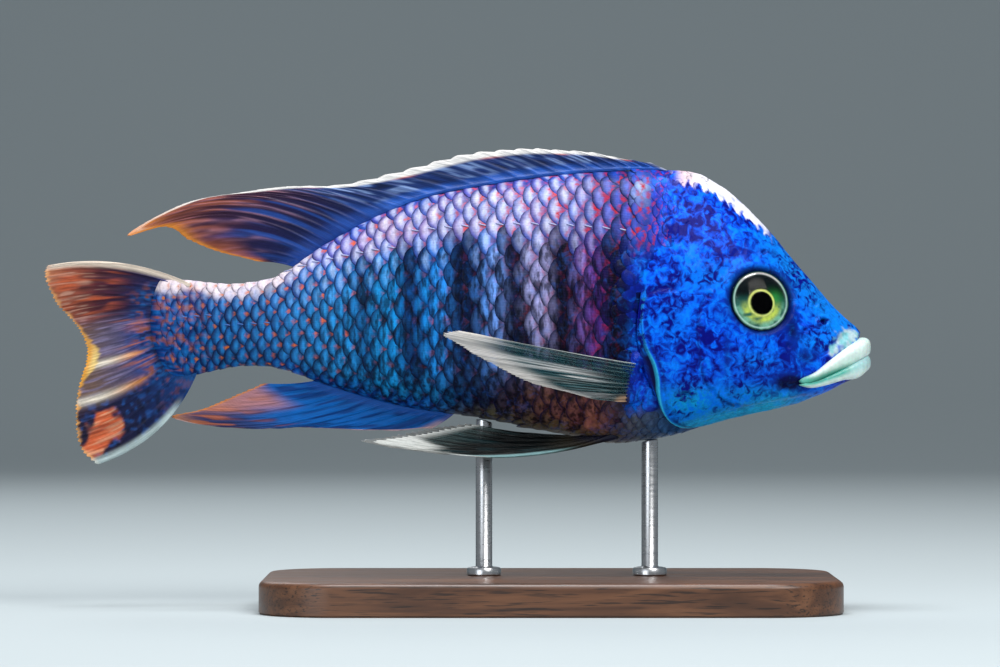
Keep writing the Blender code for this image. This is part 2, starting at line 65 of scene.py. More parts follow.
# The body's outline, as (along, up) stations, and its half widths, as (along, half width)
BACK = (
    (1.6, -0.4), (2.4, 0.7), (4.7, 2.7), (6.6, 4.6), (12.9, 11.9), (22.0, 22.2), (26.5, 26.1),
    (31.0, 28.6), (38.0, 29.4), (49.0, 29.2), (67.0, 27.2), (85.3, 23.0), (99.8, 15.5), (107.1, 10.6),
    (114.3, 9.0), (124.5, 9.7), (131.0, 9.5),
)
BELLY = (
    (2.4, -8.1), (11.9, -12.4), (23.8, -15.1), (38.3, -19.0), (46.0, -20.1), (56.4, -18.3),
    (70.9, -15.6), (85.3, -13.3), (99.8, -9.2), (107.1, -6.7), (113.0, -6.2), (124.5, -8.2), (131.0, -8.0),
)
WIDEST = ((2.4, -4.6), (12.9, -2.5), (22.0, -2.0), (38.0, -0.5), (56.0, 1.0), (99.8, 2.0), (124.5, 0.8))
HALF_WIDTH = (
    (2.4, 3.2), (6.6, 5.2), (12.9, 7.4), (20.0, 9.5), (30.0, 11.4), (42.0, 12.3), (56.0, 12.0),
    (71.0, 10.4), (85.3, 8.3), (99.8, 5.9), (114.3, 3.4), (124.5, 1.9), (131.0, 0.5),
)
BACK_FULLNESS = 1.85
BELLY_FULLNESS = 2.15

# Lines round the body, as (degrees down from the back, along)
SNOUT_END = ((0, 1.9), (90, 3.0), (180, 3.2))
GILL_OPENING = ((0, 36.5), (60, 40.2), (90, 42.3), (118, 39.6), (150, 36.0), (180, 30.0))
TAIL_END = ((0, 122.5), (90, 124.5), (180, 119.5))

EYE_ALONG, EYE_UP = 20.25, 5.8
EYE_RADIUS, EYE_BULGE, EYE_DEPTH, EYE_SUNK = 5.5, 2.1, 3.6, 0.6
EYE_RINGS, EYE_SEGMENTS, CORNEA_RINGS = 90, 96, 26
PUPIL_DROP, EYEBALL_GAP, CORNEA_THICKNESS = 0.55, 0.12, 0.2
NOSTRIL_ALONG, NOSTRIL_UP = 8.8, 2.0

LIP_FRONT, LIP_REACH, LIP_HALF_SPAN = 1.55, 11.8, 5.9
MOUTH_LINE = ((1.5, -4.15), (2.8, -4.9), (4.2, -5.8), (5.7, -6.6), (8.2, -7.8), (10.8, -8.9), (13.4, -9.3))
UPPER_LIP_EDGE = ((1.5, -0.9), (2.7, -1.5), (5.3, -3.1), (7.9, -5.0), (10.8, -7.3), (13.4, -8.2))
LOWER_LIP_EDGE = ((1.5, -7.0), (2.7, -8.1), (5.3, -8.6), (8.8, -9.6), (11.1, -10.0), (13.4, -9.7))
LIP_HALF_THICKNESS = ((1.5, 1.55), (9.0, 1.2), (13.4, 1.1))

# Each median fin's rays: (ray, root along, tip along, tip up, bow), the bow as a share of length
DORSAL_RAYS = (
    (0, 37.6, 40.1, 30.6, 0.05), (4, 45.5, 53.7, 32.9, 0.06), (9, 60.0, 70.9, 32.7, 0.06),
    (15, 83.5, 97.1, 26.7, 0.06), (18, 90.8, 111.6, 25.8, 0.12), (20, 94.8, 125.2, 22.9, 0.22),
    (22, 98.7, 134.6, 17.4, 0.28), (23, 100.2, 127.9, 19.1, 0.24), (24, 101.8, 123.4, 16.6, 0.18),
    (25, 103.4, 118.3, 14.6, 0.12), (26, 105.1, 110.8, 12.8, 0.08),
)
DORSAL_LEAN, ANAL_LEAN = 6.0, 4.0
ANAL_RAYS = (
    (0, 75.9, 79.5, -17.4, 0.05), (1, 78.1, 86.2, -17.8, 0.06), (2, 80.6, 92.9, -17.7, 0.07),
    (4, 85.7, 108.9, -16.9, 0.1), (6, 90.6, 122.4, -16.6, 0.12), (7, 92.9, 126.8, -15.2, 0.12),
    (8, 95.1, 122.3, -14.2, 0.1), (10, 99.3, 114.3, -11.0, 0.08), (11, 101.5, 110.0, -9.2, 0.06),
)
# The tail fin's rays: (ray, tip along, tip up, bow upwards as a share of length)
CAUDAL_RAYS = (
    (0, 149.6, 12.1, 0.16), (1, 150.0, 10.8, 0.14), (3, 147.8, 5.3, 0.1), (5, 144.2, 1.3, 0.05),
    (7, 142.2, -2.8, 0.0), (8, 142.2, -5.0, -0.03), (10, 143.6, -10.2, -0.09), (12, 144.0, -15.7, -0.16),
    (14, 142.7, -21.5, -0.2), (15, 140.2, -24.0, -0.24),
)
CAUDAL_MARGIN, CAUDAL_SWAY, CAUDAL_SHIFT = 0.6, 2.2, 0.4
# Each paired fin's rays: (ray, tip along, tip up, tip out from the midplane)
PECTORAL_RAYS = (
    (0, 72.7, -0.1, 17.4), (1, 75.6, 0.3, 17.8), (2, 77.6, -0.4, 17.8), (3, 75.4, -1.7, 17.0),
    (5, 70.5, -4.6, 15.8), (7, 65.1, -7.5, 14.6), (9, 58.6, -9.9, 13.2), (11, 51.5, -11.3, 12.2),
)
PECTORAL_ROOT = ((0, 43.2, -5.4), (11, 44.6, -11.9))
PECTORAL_LIFT = 2.7
PELVIC_RAYS = (
    (0, 77.5, -21.6, 7.8), (1, 89.8, -19.8, 7.4), (2, 85.3, -18.9, 6.4), (3, 80.8, -18.1, 5.4),
    (4, 76.6, -17.3, 4.6), (5, 71.8, -16.6, 3.9),
)
PELVIC_ROOT = ((0, 46.8, 157), (5, 51.6, 166))
PELVIC_BOW = ((0, 4.6), (1, 5.2), (5, 1.2))
LEFT_PELVIC_STRETCH = 1.06

BASE_X, BASE_CORNER = 17.0, 14.0
ROD_ALONG = (40.0, 70.0)
# The collar's rings, as (radius, up from the base), and the rod's top, as (depth in the belly, inset)
COLLAR = ((2.9, 0.0), (3.1, 0.2), (3.1, 1.1), (2.9, 1.4), (2.2, 1.55), (1.62, 1.6), (1.5, 1.75))
ROD_TOP = ((0.55, 0.0), (0.3, 0.06), (0.22, 0.2))

SENSOR_WIDTH = 36.0
# The middle of the photo's frame, in metres
VIEW_CENTRE = Vector((0.0079, 0.0, 0.0498))


def linear(hex_colour):
    """An sRGB hex colour as linear red, green and blue."""
    parts = [int(hex_colour[i:i + 2], 16) / 255 for i in (1, 3, 5)]
    return tuple(c / 12.92 if c <= 0.04045 else ((c + 0.055) / 1.055) ** 2.4 for c in parts)


def smooth_line(stations):
    """A smooth curve through (place, value) stations, as a function of an array of places."""
    at, value = (np.array(column, float) for column in zip(*stations))
    slope = np.gradient(value, at)

    def value_at(place):
        place = np.clip(place, at[0], at[-1])
        i = np.clip(np.searchsorted(at, place) - 1, 0, len(at) - 2)
        width = at[i + 1] - at[i]
        t = (place - at[i]) / width
        ends = value[i] * (1 + 2 * t) * (1 - t) ** 2 + value[i + 1] * t * t * (3 - 2 * t)
        return ends + width * t * (1 - t) * (slope[i] * (1 - t) - slope[i + 1] * t)

    return value_at


def smooth_columns(rows):
    """Rows of (place, value, value, ...) as a function of places that gives the values' arrays."""
    lines = [smooth_line([(row[0], row[k]) for row in rows]) for k in range(1, len(rows[0]))]
    return lambda place: [line(place) for line in lines]


def colour_line(*stops):
    """(place, hex colour) stops as a function of an array of places that gives linear colours."""
    at = [place for place, _ in stops]
    channels = np.array([linear(colour) for _, colour in stops]).T
    return lambda place: np.stack([np.interp(place, at, channel) for channel in channels], -1)


def rise(value, low, high):
    """0 below low, 1 above high, and smooth between."""
    t = np.clip((value - low) / (high - low), 0, 1)
    return t * t * (3 - 2 * t)


def fall(value, low, high):
    """1 below low, 0 above high, and smooth between."""
    return 1 - rise(value, low, high)


def hump(value, centre, width):
    """1 at a centre, and less on both sides of it."""
    return np.exp(-((value - centre) / width) ** 2)


def blend(colours, colour, share):
    """Colours moved towards one colour, or an array of them, by a share from 0 to 1."""
    target = np.array(linear(colour)) if isinstance(colour, str) else colour
    return colours + (target - colours) * np.clip(share, 0, 1)[..., None]


def grain(points, size, seed=0):
    """Smooth noise from -1 to 1 over points of two or three numbers, in blobs of this size."""
    points = np.asarray(points, float)
    cell = points / size + seed * 17.31
    low = np.floor(cell)
    t = cell - low
    t = t * t * (3 - 2 * t)
    primes = np.array((12.9898, 78.233, 37.719))[: points.shape[-1]]
    total = np.zeros(points.shape[:-1])
    for corner in np.ndindex(*(2,) * points.shape[-1]):
        weight = np.prod(np.where(np.array(corner, bool), t, 1 - t), axis=-1)
        total += weight * (np.sin((low + corner) @ primes) * 43758.5453 % 1 * 2 - 1)
    return total


def flat_grain(across, out, seed):
    """Smooth noise over two numbers that are given apart, in blobs of size 1."""
    return grain(np.stack([across, out], -1), 1.0, seed)


back_at, belly_at, widest_at, half_width_at = map(smooth_line, (BACK, BELLY, WIDEST, HALF_WIDTH))
opening_at, snout_end_at, tail_end_at = map(smooth_line, (GILL_OPENING, SNOUT_END, TAIL_END))


def body_place(along, up, out=0.0):
    """Points at places along the body, at heights over its axis, and this far off its midplane."""
    return np.stack(np.broadcast_arrays(SNOUT_X - along, out, up), -1)


def skin_point(along, angle, side=RIGHT):
    """The body's point at an angle down from the back. Past 0 or pi it is on the other side."""
    along, angle = np.broadcast_arrays(np.asarray(along, float), np.asarray(angle, float))
    middle = widest_at(along)
    sine, cosine = np.sin(angle), np.cos(angle)
    height = np.where(cosine >= 0, back_at(along) - middle, middle - belly_at(along))
    power = np.where(cosine >= 0, 2 / BACK_FULLNESS, 2 / BELLY_FULLNESS)
    out = half_width_at(along) * np.sign(sine) * np.abs(sine) ** power
    lift = height * np.sign(cosine) * np.abs(cosine) ** power
    return body_place(along, middle + lift, side * out)


def unit(vectors):
    """Vectors made one long."""
    return vectors / np.maximum(np.linalg.norm(vectors, axis=-1, keepdims=True), 1e-12)


def skin_normal(along, angle, side=RIGHT):
    """The way out of the body at a place."""
    step_along, step_angle = 0.4, 0.02
    lengthwise = skin_point(along + step_along, angle, side) - skin_point(along - step_along, angle, side)
    around = skin_point(along, angle + step_angle, side) - skin_point(along, angle - step_angle, side)
    return unit(np.cross(around, lengthwise)) * side


def angle_at_height(along, up):
    """The angle down from the back at which the body is at this height."""
    middle = widest_at(along)
    above = np.clip((up - middle) / (back_at(along) - middle), 0, 1)
    below = np.clip((middle - up) / (middle - belly_at(along)), 0, 1)
    return np.where(
        up >= middle,
        np.arccos(above ** (BACK_FULLNESS / 2)),
        np.pi - np.arccos(below ** (BELLY_FULLNESS / 2)),
    )


class Girth:
    """Turns a distance round the body from its widest line, upwards, into an angle."""

    STEP, ALONG_STEP = 0.25, 0.5

    def __init__(self):
        self.along = np.arange(20.0, 134.0, self.ALONG_STEP)
        angles = np.radians(np.arange(-25.0, 206.0, 1.0))
        points = skin_point(self.along[:, None], angles[None, :])
        lengths = np.linalg.norm(np.diff(points, axis=1), axis=2)
        run = np.concatenate([np.zeros((len(self.along), 1)), np.cumsum(lengths, axis=1)], axis=1)
        middle = np.argmin(np.abs(angles - np.pi / 2))
        run = run[:, middle][:, None] - run
        self.out = np.arange(-60.0, 60.0, self.STEP)
        self.angle = np.array([np.interp(self.out, r[::-1], angles[::-1]) for r in run])
        ends = [int(np.argmin(np.abs(angles - end))) for end in (0.0, np.pi)]
        self.top, self.foot = run[:, ends[0]], run[:, ends[1]]

    def angle_at(self, along, girth):
        """The angle at a distance round the body."""
        i = np.clip((along - self.along[0]) / self.ALONG_STEP, 0, len(self.along) - 1.001)
        j = np.clip((girth - self.out[0]) / self.STEP, 0, len(self.out) - 1.001)
        i0, j0 = i.astype(int), j.astype(int)
        ti, tj = i - i0, j - j0
        low = self.angle[i0, j0] * (1 - tj) + self.angle[i0, j0 + 1] * tj
        high = self.angle[i0 + 1, j0] * (1 - tj) + self.angle[i0 + 1, j0 + 1] * tj
        return low * (1 - ti) + high * ti

    def top_at(self, along):
        """The distance from the widest line up to the middle of the back."""
        return np.interp(along, self.along, self.top)

    def foot_at(self, along):
        """The distance from the widest line to the middle of the belly, below 0."""
        return np.interp(along, self.along, self.foot)


GIRTH = Girth()


def place(points):
    """Points in the fish's millimetres as the frame's metres."""
    return (points + (0.0, 0.0, AXIS_HEIGHT)) * MM


def grid_faces(rows, columns, first=0, wrap=False):
    """Quads of a grid of points that are numbered row by row, with its columns closed or not."""
    r, c = np.meshgrid(np.arange(rows - 1), np.arange(columns if wrap else columns - 1), indexing="ij")
    after = (c + 1) % columns
    this, following = r * columns, (r + 1) * columns
    return np.stack([this + c, this + after, following + after, following + c], -1).reshape(-1, 4) + first


def tube_faces(rings, count):
    """Quads of a tube of rings of points, and the two many-sided faces that close its ends."""
    caps = np.array([np.arange(count)[::-1], (rings - 1) * count + np.arange(count)])
    return [grid_faces(rings, count, wrap=True), caps]


def circle(count):
    """Angles of points spaced evenly round a circle."""
    return np.linspace(0, 2 * np.pi, count, endpoint=False)


def run_along(points):
    """The distance from the first point of a line to each of its points."""
    return np.concatenate([[0], np.cumsum(np.linalg.norm(np.diff(points, axis=0), axis=1))])


def shell_faces(rows, columns):
    """Quads of a closed sheet: a grid for the front, then one for the back, and the rim between."""
    back = rows * columns
    front = grid_faces(rows, columns)
    rim = np.concatenate([
        np.arange(columns),
        np.arange(1, rows) * columns + columns - 1,
        (rows - 1) * columns + np.arange(columns - 2, -1, -1),
        np.arange(rows - 2, 0, -1) * columns,
    ])
    after = np.roll(rim, -1)
    band = np.stack([after, rim, rim + back, after + back], -1)
    return [front, front[:, ::-1] + back, band]


def outwards(points, faces):
    """The faces, turned over together where the closed mesh is inside out."""
    volume = 0.0
    for group in faces:
        for k in range(1, group.shape[1] - 1):
            a, b, c = points[group[:, 0]], points[group[:, k]], points[group[:, k + 1]]
            volume += np.einsum("ij,ij->i", a, np.cross(b, c)).sum()
    return faces if volume > 0 else [group[:, ::-1] for group in faces]


def make_piece(name, points, faces, material, paints=None, maps=None, sharp=None):
    """One mesh piece on the root body, from points in metres and groups of faces of one size.

    paints holds linear RGBA colours for each point, and maps holds UV places for each point.
    """
    faces = outwards(points, [np.asarray(group) for group in faces])
    corners = np.concatenate([group.ravel() for group in faces]).astype(np.int32)
    sizes = np.concatenate([np.full(len(group), group.shape[1]) for group in faces])
    starts = np.concatenate([[0], np.cumsum(sizes)[:-1]]).astype(np.int32)
    mesh = bpy.data.meshes.new(name)
    mesh.vertices.add(len(points))
    mesh.vertices.foreach_set("co", np.asarray(points, np.float32).ravel())
    mesh.loops.add(len(corners))
    mesh.loops.foreach_set("vertex_index", corners)
    mesh.polygons.add(len(sizes))
    mesh.polygons.foreach_set("loop_start", starts)
    mesh.update(calc_edges=True)
    mesh.shade_smooth()
    if sharp:
        mesh.set_sharp_from_angle(angle=math.radians(sharp))
    for title, values in (paints or {}).items():
        layer = mesh.color_attributes.new(name=title, type="FLOAT_COLOR", domain="POINT")
        layer.data.foreach_set("color", np.asarray(values, np.float32).ravel())
    for title, values in (maps or {}).items():
        layer = mesh.uv_layers.new(name=title)
        layer.data.foreach_set("uv", np.asarray(values, np.float32)[corners].ravel())
    mesh.materials.append(material)
    piece = bpy.data.objects.new(name, mesh)
    bpy.context.scene.collection.objects.link(piece)
    return piece


def join_parts(parts):
    """Several (points, faces, ...) parts as one: the points, the faces of each size, the rest."""
    points = np.concatenate([part[0] for part in parts])
    groups = {}
    first = 0
    for part in parts:
        for group in part[1]:
            groups.setdefault(group.shape[1], []).append(np.asarray(group) + first)
        first += len(part[0])
    rest = [np.concatenate([part[k] for part in parts]) for k in range(2, len(parts[0]))]
    return [points, [np.concatenate(found) for found in groups.values()], *rest]


def even(colour, like):
    """One hex colour for each number of an array."""
    return np.broadcast_to(linear(colour), (*np.shape(like), 3)).copy()


def blend_all(colours, layers):
    """Colours blended with each (colour, share) layer in turn."""
    for colour, share in layers:
        colours = blend(colours, colour, share)
    return colours


def with_opacity(colours, opacity=1.0):
    """Colours with a fourth number."""
    return np.concatenate([colours, np.broadcast_to(opacity, colours.shape[:-1])[..., None]], -1)


def add_node(tree, kind, inputs=None, stops=None, **settings):
    """Add a node with its settings and links, and give the first of its outputs that is in use.

    Each input is a value, an sRGB hex colour or an output to link. The stops are a colour ramp's.
    """
    node = tree.nodes.new("ShaderNode" + kind)
    for name, value in settings.items():
        setattr(node, name, value)
    for name, value in (inputs or {}).items():
        socket = node.inputs[name]
        if isinstance(value, bpy.types.NodeSocket):
            tree.links.new(value, socket)
        elif socket.type == "RGBA":
            socket.default_value = (*(linear(value) if isinstance(value, str) else value), 1.0)
        else:
            socket.default_value = value
    if stops:
        ramp = node.color_ramp
        ramp.elements[0].position, ramp.elements[1].position = stops[0][0], stops[-1][0]
        for position, _ in stops[1:-1]:
            ramp.elements.new(position)
        for element, (_, value) in zip(ramp.elements, stops):
            element.color = (*linear(value), 1.0) if isinstance(value, str) else (value, value, value, 1.0)
    return next((socket for socket in node.outputs if socket.enabled), None)


def start_material(name):
    """An empty material, add_node for its tree, and the object's own place, in metres."""
    made = bpy.data.materials.new(name)
    made.use_nodes = True
    made.node_tree.nodes.clear()
    add = functools.partial(add_node, made.node_tree)
    return made, add, add("TexCoord").node.outputs["Object"]


def mottled_paint(add, where, settings):
    """The painted colour with the head's worm-like mottling, as strong as the paint's alpha says."""
    paint = add("Attribute", attribute_name="paint")
    strength = paint.node.outputs["Alpha"]
    worms = add("TexNoise", {
        "Vector": where, "Scale": 1 / settings.mottle_size, "Detail": 3.0, "Roughness": 0.55,
        "Distortion": 0.9})
    clouds = add("TexNoise", {"Vector": where, "Scale": 0.26 / settings.mottle_size, "Detail": 2.0})
    level = add("Mix", {0: 0.4, 2: worms, 3: clouds}, data_type="FLOAT")
    dark = add("MapRange", {0: level, 1: 0.52, 2: 0.43, 4: strength})
    colour = add("Mix", {0: dark, 6: paint, 7: settings.mottle_dark}, data_type="RGBA")
    light = add("MapRange", {0: level, 1: 0.51, 2: 0.62, 4: strength})
    colour = add("Mix", {0: light, 6: colour, 7: settings.mottle_light}, data_type="RGBA")
    speck = add("TexNoise", {"Vector": where, "Scale": 1 / (0.45 * MM), "Detail": 2.0})
    shade = add("ValToRGB", {0: speck}, [(0.3, 0.6), (0.7, 1.0)])
    colour = add("Mix", {0: 0.5, 6: colour, 7: shade}, data_type="RGBA", blend_type="MULTIPLY")
    return colour, level


def fish_skin(settings):
    """Fish skin under a film of slime: soft blue pigment, a wet clear coat and pores too fine to count.

    The pores are drawn at 0.3 mm, about three times their size, so that they show.
    """
    made, add, where = start_material("Fish_skin_wet")
    colour, level = mottled_paint(add, where, settings)
    pores = add("TexNoise", {"Vector": where, "Scale": 1 / (0.3 * MM), "Detail": 2.0})
    height = add("Math", {0: pores, 1: 0.4, 2: level}, operation="MULTIPLY_ADD")
    bump = add("Bump", {"Strength": 0.3, "Distance": 0.12 * MM, "Height": height})
    rough = add("MapRange", {0: pores, 1: 0.3, 2: 0.7, 3: 0.34, 4: 0.48})
    shader = add("BsdfPrincipled", {
        "Base Color": colour, "Roughness": rough, "IOR": 1.4, "Specular IOR Level": 0.05,
        "Coat Weight": 0.04, "Coat Roughness": 0.12, "Normal": bump})
    add("OutputMaterial", {"Surface": shader})
    return made


def bony_scale(settings):
    """Thin bony scales under slime: a satin face with fine growth ridges, dark pigment at the free edge.

    Real growth ridges are 0.05 mm apart. They are drawn 0.35 mm apart, so that they show.
    """
    made, add, where = start_material("Bony_scale_wet")
    colour, _ = mottled_paint(add, where, settings)
    own = add("UVMap", uv_map="ScalePlace")
    wobble = add("TexNoise", {"Vector": where, "Scale": 1 / (1.1 * MM), "Detail": 2.0})
    # The noise moves a mark about its place, and by 0.17 on the average, which the sums below allow for
    moved = add("VectorMath", {0: wobble.node.outputs["Color"], 1: (0.34, 0.34, 0.34), 2: own},
                     operation="MULTIPLY_ADD")
    aside = add("SeparateXYZ", {0: moved})
    back = aside.node.outputs[1]
    across = add("Math", {0: aside, 1: 0.67}, operation="SUBTRACT")
    across = add("Math", {0: across}, operation="ABSOLUTE")
    # A blotch follows the front of the part that shows, beside the edges of the scales before it
    front = add("Math", {0: across, 1: 0.62, 2: 0.67}, operation="MULTIPLY_ADD")
    band = add("Math", {0: back, 1: front}, operation="SUBTRACT")
    band = add("Math", {0: band}, operation="ABSOLUTE")
    # Towards the tail it is a round spot
    compact = add("Math", {0: back, 1: 0.7}, operation="SUBTRACT")
    compact = add("Math", {0: compact}, operation="ABSOLUTE")
    compact = add("Math", {0: across, 1: 0.7, 2: compact}, operation="MULTIPLY_ADD")
    spread = add("Attribute", attribute_name="spread")
    far = add("Mix", {0: spread.node.outputs["Fac"], 2: compact, 3: band}, data_type="FLOAT")
    blotch = add("Attribute", attribute_name="blotch")
    clouds = add("TexNoise", {"Vector": where, "Scale": 1 / (1.3 * MM), "Detail": 3.0, "Distortion": 0.6})
    patches = add("MapRange", {0: clouds, 1: 0.4, 2: 0.6, 4: blotch.node.outputs["Alpha"]})
    mark = add("MapRange", {0: far, 1: 0.19, 2: 0.04, 4: patches})
    colour = add("Mix", {0: mark, 6: colour, 7: blotch}, data_type="RGBA")
    tall = add("Mapping", {0: where, 3: (1.0, 1.0, 0.28)})
    streaks = add("TexNoise", {"Vector": tall, "Scale": 1 / (0.8 * MM), "Detail": 3.0})
    dim = add("MapRange", {0: streaks, 1: 0.57, 2: 0.38, 4: spread.node.outputs["Alpha"]})
    colour = add("Mix", {0: dim, 6: colour, 7: "#02030E"}, data_type="RGBA")
    uneven = add("MapRange", {0: clouds, 1: 0.6, 2: 0.4, 4: 0.75})
    plain_place = add("SeparateXYZ", {0: own})
    edge = add("MapRange", {0: plain_place.node.outputs[1], 1: 0.91, 2: 1.0, 4: uneven})
    colour = add("Mix", {0: edge, 6: colour, 7: settings.edge_colour}, data_type="RGBA")
    ridges = add("Math", {0: plain_place, 1: 2 * math.pi * 13}, operation="MULTIPLY")
    ridges = add("Math", {0: ridges}, operation="SINE")
    grit = add("TexNoise", {"Vector": where, "Scale": 1 / (0.4 * MM), "Detail": 2.0})
    height = add("Math", {0: ridges, 1: 0.16, 2: grit}, operation="MULTIPLY_ADD")
    bump = add("Bump", {"Strength": 0.35, "Distance": 0.1 * MM, "Height": height})
    shader = add("BsdfPrincipled", {
        "Base Color": colour, "Roughness": 0.38, "IOR": 1.45, "Specular IOR Level": 0.06,
        "Coat Weight": 0.04, "Coat Roughness": 0.12, "Normal": bump})
    add("OutputMaterial", {"Surface": shader})
    return made


def fin_membrane(name, clear=False):
    """Thin skin over bony rays: light comes through it a little, and its wet face has a soft gloss.

    The joints of a soft ray are 0.4 mm apart. They are drawn 0.8 mm apart, so that they show.
    """
    made, add, _ = start_material(name)
    paint = add("Attribute", attribute_name="paint")
    place_on = add("UVMap", uv_map="FinPlace")
    long_way = add("Mapping", {0: place_on, 3: (9.0, 0.35, 1.0)})
    fibres = add("TexNoise", {"Vector": long_way, "Scale": 1.0, "Detail": 3.0})
    shade = add("ValToRGB", {0: fibres}, [(0.3, 0.45), (0.66, 1.0)])
    colour = add("Mix", {0: 0.6, 6: paint, 7: shade}, data_type="RGBA", blend_type="MULTIPLY")
    out_way = add("SeparateXYZ", {0: place_on}).node.outputs[1]
    joints = add("Math", {0: out_way, 1: 2 * math.pi / 0.8}, operation="MULTIPLY")
    joints = add("Math", {0: joints}, operation="SINE")
    height = add("Math", {0: joints, 1: 0.15, 2: fibres}, operation="MULTIPLY_ADD")
    bump = add("Bump", {"Strength": 0.35, "Distance": 0.12 * MM, "Height": height})
    surface = add("BsdfPrincipled", {
        "Base Color": colour, "Roughness": 0.42, "IOR": 1.4, "Specular IOR Level": 0.25,
        "Coat Weight": 0.08, "Coat Roughness": 0.2, "Normal": bump})
    through = add("BsdfTranslucent", {"Color": colour})
    surface = add("MixShader", {0: 0.22, 1: surface, 2: through})
    if clear:
        nothing = add("BsdfTransparent")
        surface = add("MixShader", {0: paint.node.outputs["Alpha"], 1: nothing, 2: surface})
    add("OutputMaterial", {"Surface": surface})
    return made


def lip_flesh():
    """Thick bare skin, creased and slippery: light spreads a little way in, so its edges are soft."""
    made, add, where = start_material("Lip_flesh_wet")
    paint = add("Attribute", attribute_name="paint")
    clouds = add("TexNoise", {"Vector": where, "Scale": 1 / (0.9 * MM), "Detail": 3.0})
    shade = add("ValToRGB", {0: clouds}, [(0.3, 0.75), (0.7, 1.0)])
    colour = add("Mix", {0: 0.8, 6: paint, 7: shade}, data_type="RGBA", blend_type="MULTIPLY")
    creases = add("TexNoise", {"Vector": where, "Scale": 1 / (0.5 * MM), "Detail": 3.0})
    bump = add("Bump", {"Strength": 0.3, "Distance": 0.1 * MM, "Height": creases})
    shader = add("BsdfPrincipled", {
        "Base Color": colour, "Roughness": 0.34, "IOR": 1.4, "Subsurface Weight": 0.15,
        "Subsurface Scale": 0.8 * MM, "Coat Weight": 0.3, "Coat Roughness": 0.14, "Normal": bump})
    add("OutputMaterial", {"Surface": shader})
    return made


def iris_pigment():
    """The reflecting layer of a fish's iris: green-gold platelets, satin, round a pupil with no gloss."""
    made, add, where = start_material("Iris_platelets")
    paint = add("Attribute", attribute_name="paint")
    specks = add("TexNoise", {"Vector": where, "Scale": 1 / (0.35 * MM), "Detail": 3.0})
    shade = add("ValToRGB", {0: specks}, [(0.3, 0.6), (0.7, 1.0)])
    colour = add("Mix", {0: 0.6, 6: paint, 7: shade}, data_type="RGBA", blend_type="MULTIPLY")
    gloss = add("Math", {0: paint.node.outputs["Alpha"], 1: 0.25}, operation="MULTIPLY")
    bump = add("Bump", {"Strength": 0.2, "Distance": 0.08 * MM, "Height": specks})
    shader = add("BsdfPrincipled", {
        "Base Color": colour, "Roughness": 0.4, "IOR": 1.35, "Specular IOR Level": gloss, "Normal": bump})
    add("OutputMaterial", {"Surface": shader})
    return made


def clear_cornea():
    """The clear outer dome of an eye: it shows only by what it mirrors."""
    made, add, _ = start_material("Cornea_clear")
    edge_on = add("Fresnel", {"IOR": 1.38})
    share = add("Math", {0: edge_on, 1: 0.13}, operation="MULTIPLY")
    nothing = add("BsdfTransparent")
    mirror = add("BsdfGlossy", {"Roughness": 0.07})
    surface = add("MixShader", {0: share, 1: nothing, 2: mirror})
    add("OutputMaterial", {"Surface": surface})
    return made


def oiled_walnut(settings):
    """Walnut, sawn along the grain, sanded and oiled: brown streaks, dark pores and a low sheen."""
    made, add, where = start_material("Walnut_oiled")
    long_way = add("Mapping", {0: where, 3: (0.12, 1.0, 1.0)})
    streaks = add("TexNoise", {
        "Vector": long_way, "Scale": 1 / (5.0 * MM), "Detail": 5.0, "Roughness": 0.6, "Distortion": 1.4})
    colour = add("ValToRGB", {0: streaks}, [
        (0.28, "#2A1810"), (0.45, "#4A2C1B"), (0.58, "#6A4329"), (0.75, "#80563A")])
    colour = add("Mix", {0: 0.35, 6: colour, 7: settings.wood_colour}, data_type="RGBA")
    longer_way = add("Mapping", {0: where, 3: (0.05, 1.0, 1.0)})
    pores = add("TexNoise", {"Vector": longer_way, "Scale": 1 / (0.35 * MM), "Detail": 2.0})
    deep = add("MapRange", {0: pores, 1: 0.44, 2: 0.34, 4: 0.8})
    colour = add("Mix", {0: deep, 6: colour, 7: "#1A0E08"}, data_type="RGBA")
    rough = add("MapRange", {0: streaks, 1: 0.3, 2: 0.7, 3: 0.34, 4: 0.48})
    bump = add("Bump", {"Strength": 0.25, "Distance": 0.1 * MM, "Height": pores})
    shader = add("BsdfPrincipled", {
        "Base Color": colour, "Roughness": rough, "IOR": 1.5, "Coat Weight": 0.15, "Coat Roughness": 0.25,
        "Normal": bump})
    add("OutputMaterial", {"Surface": shader})
    return made


def brushed_steel():
    """Stainless steel rod, drawn and brushed round: fine lines across it that blur what it mirrors."""
    made, add, where = start_material("Stainless_steel_brushed")
    round_it = add("Mapping", {0: where, 3: (0.1, 0.1, 1.0)})
    lines = add("TexNoise", {"Vector": round_it, "Scale": 1 / (0.6 * MM), "Detail": 2.0})
    rough = add("MapRange", {0: lines, 1: 0.3, 2: 0.7, 3: 0.22, 4: 0.36})
    bump = add("Bump", {"Strength": 0.15, "Distance": 0.05 * MM, "Height": lines})
    shader = add("BsdfPrincipled", {
        "Base Color": "#C4C6C9", "Metallic": 1.0, "Roughness": rough, "Normal": bump})
    add("OutputMaterial", {"Surface": shader})
    return made


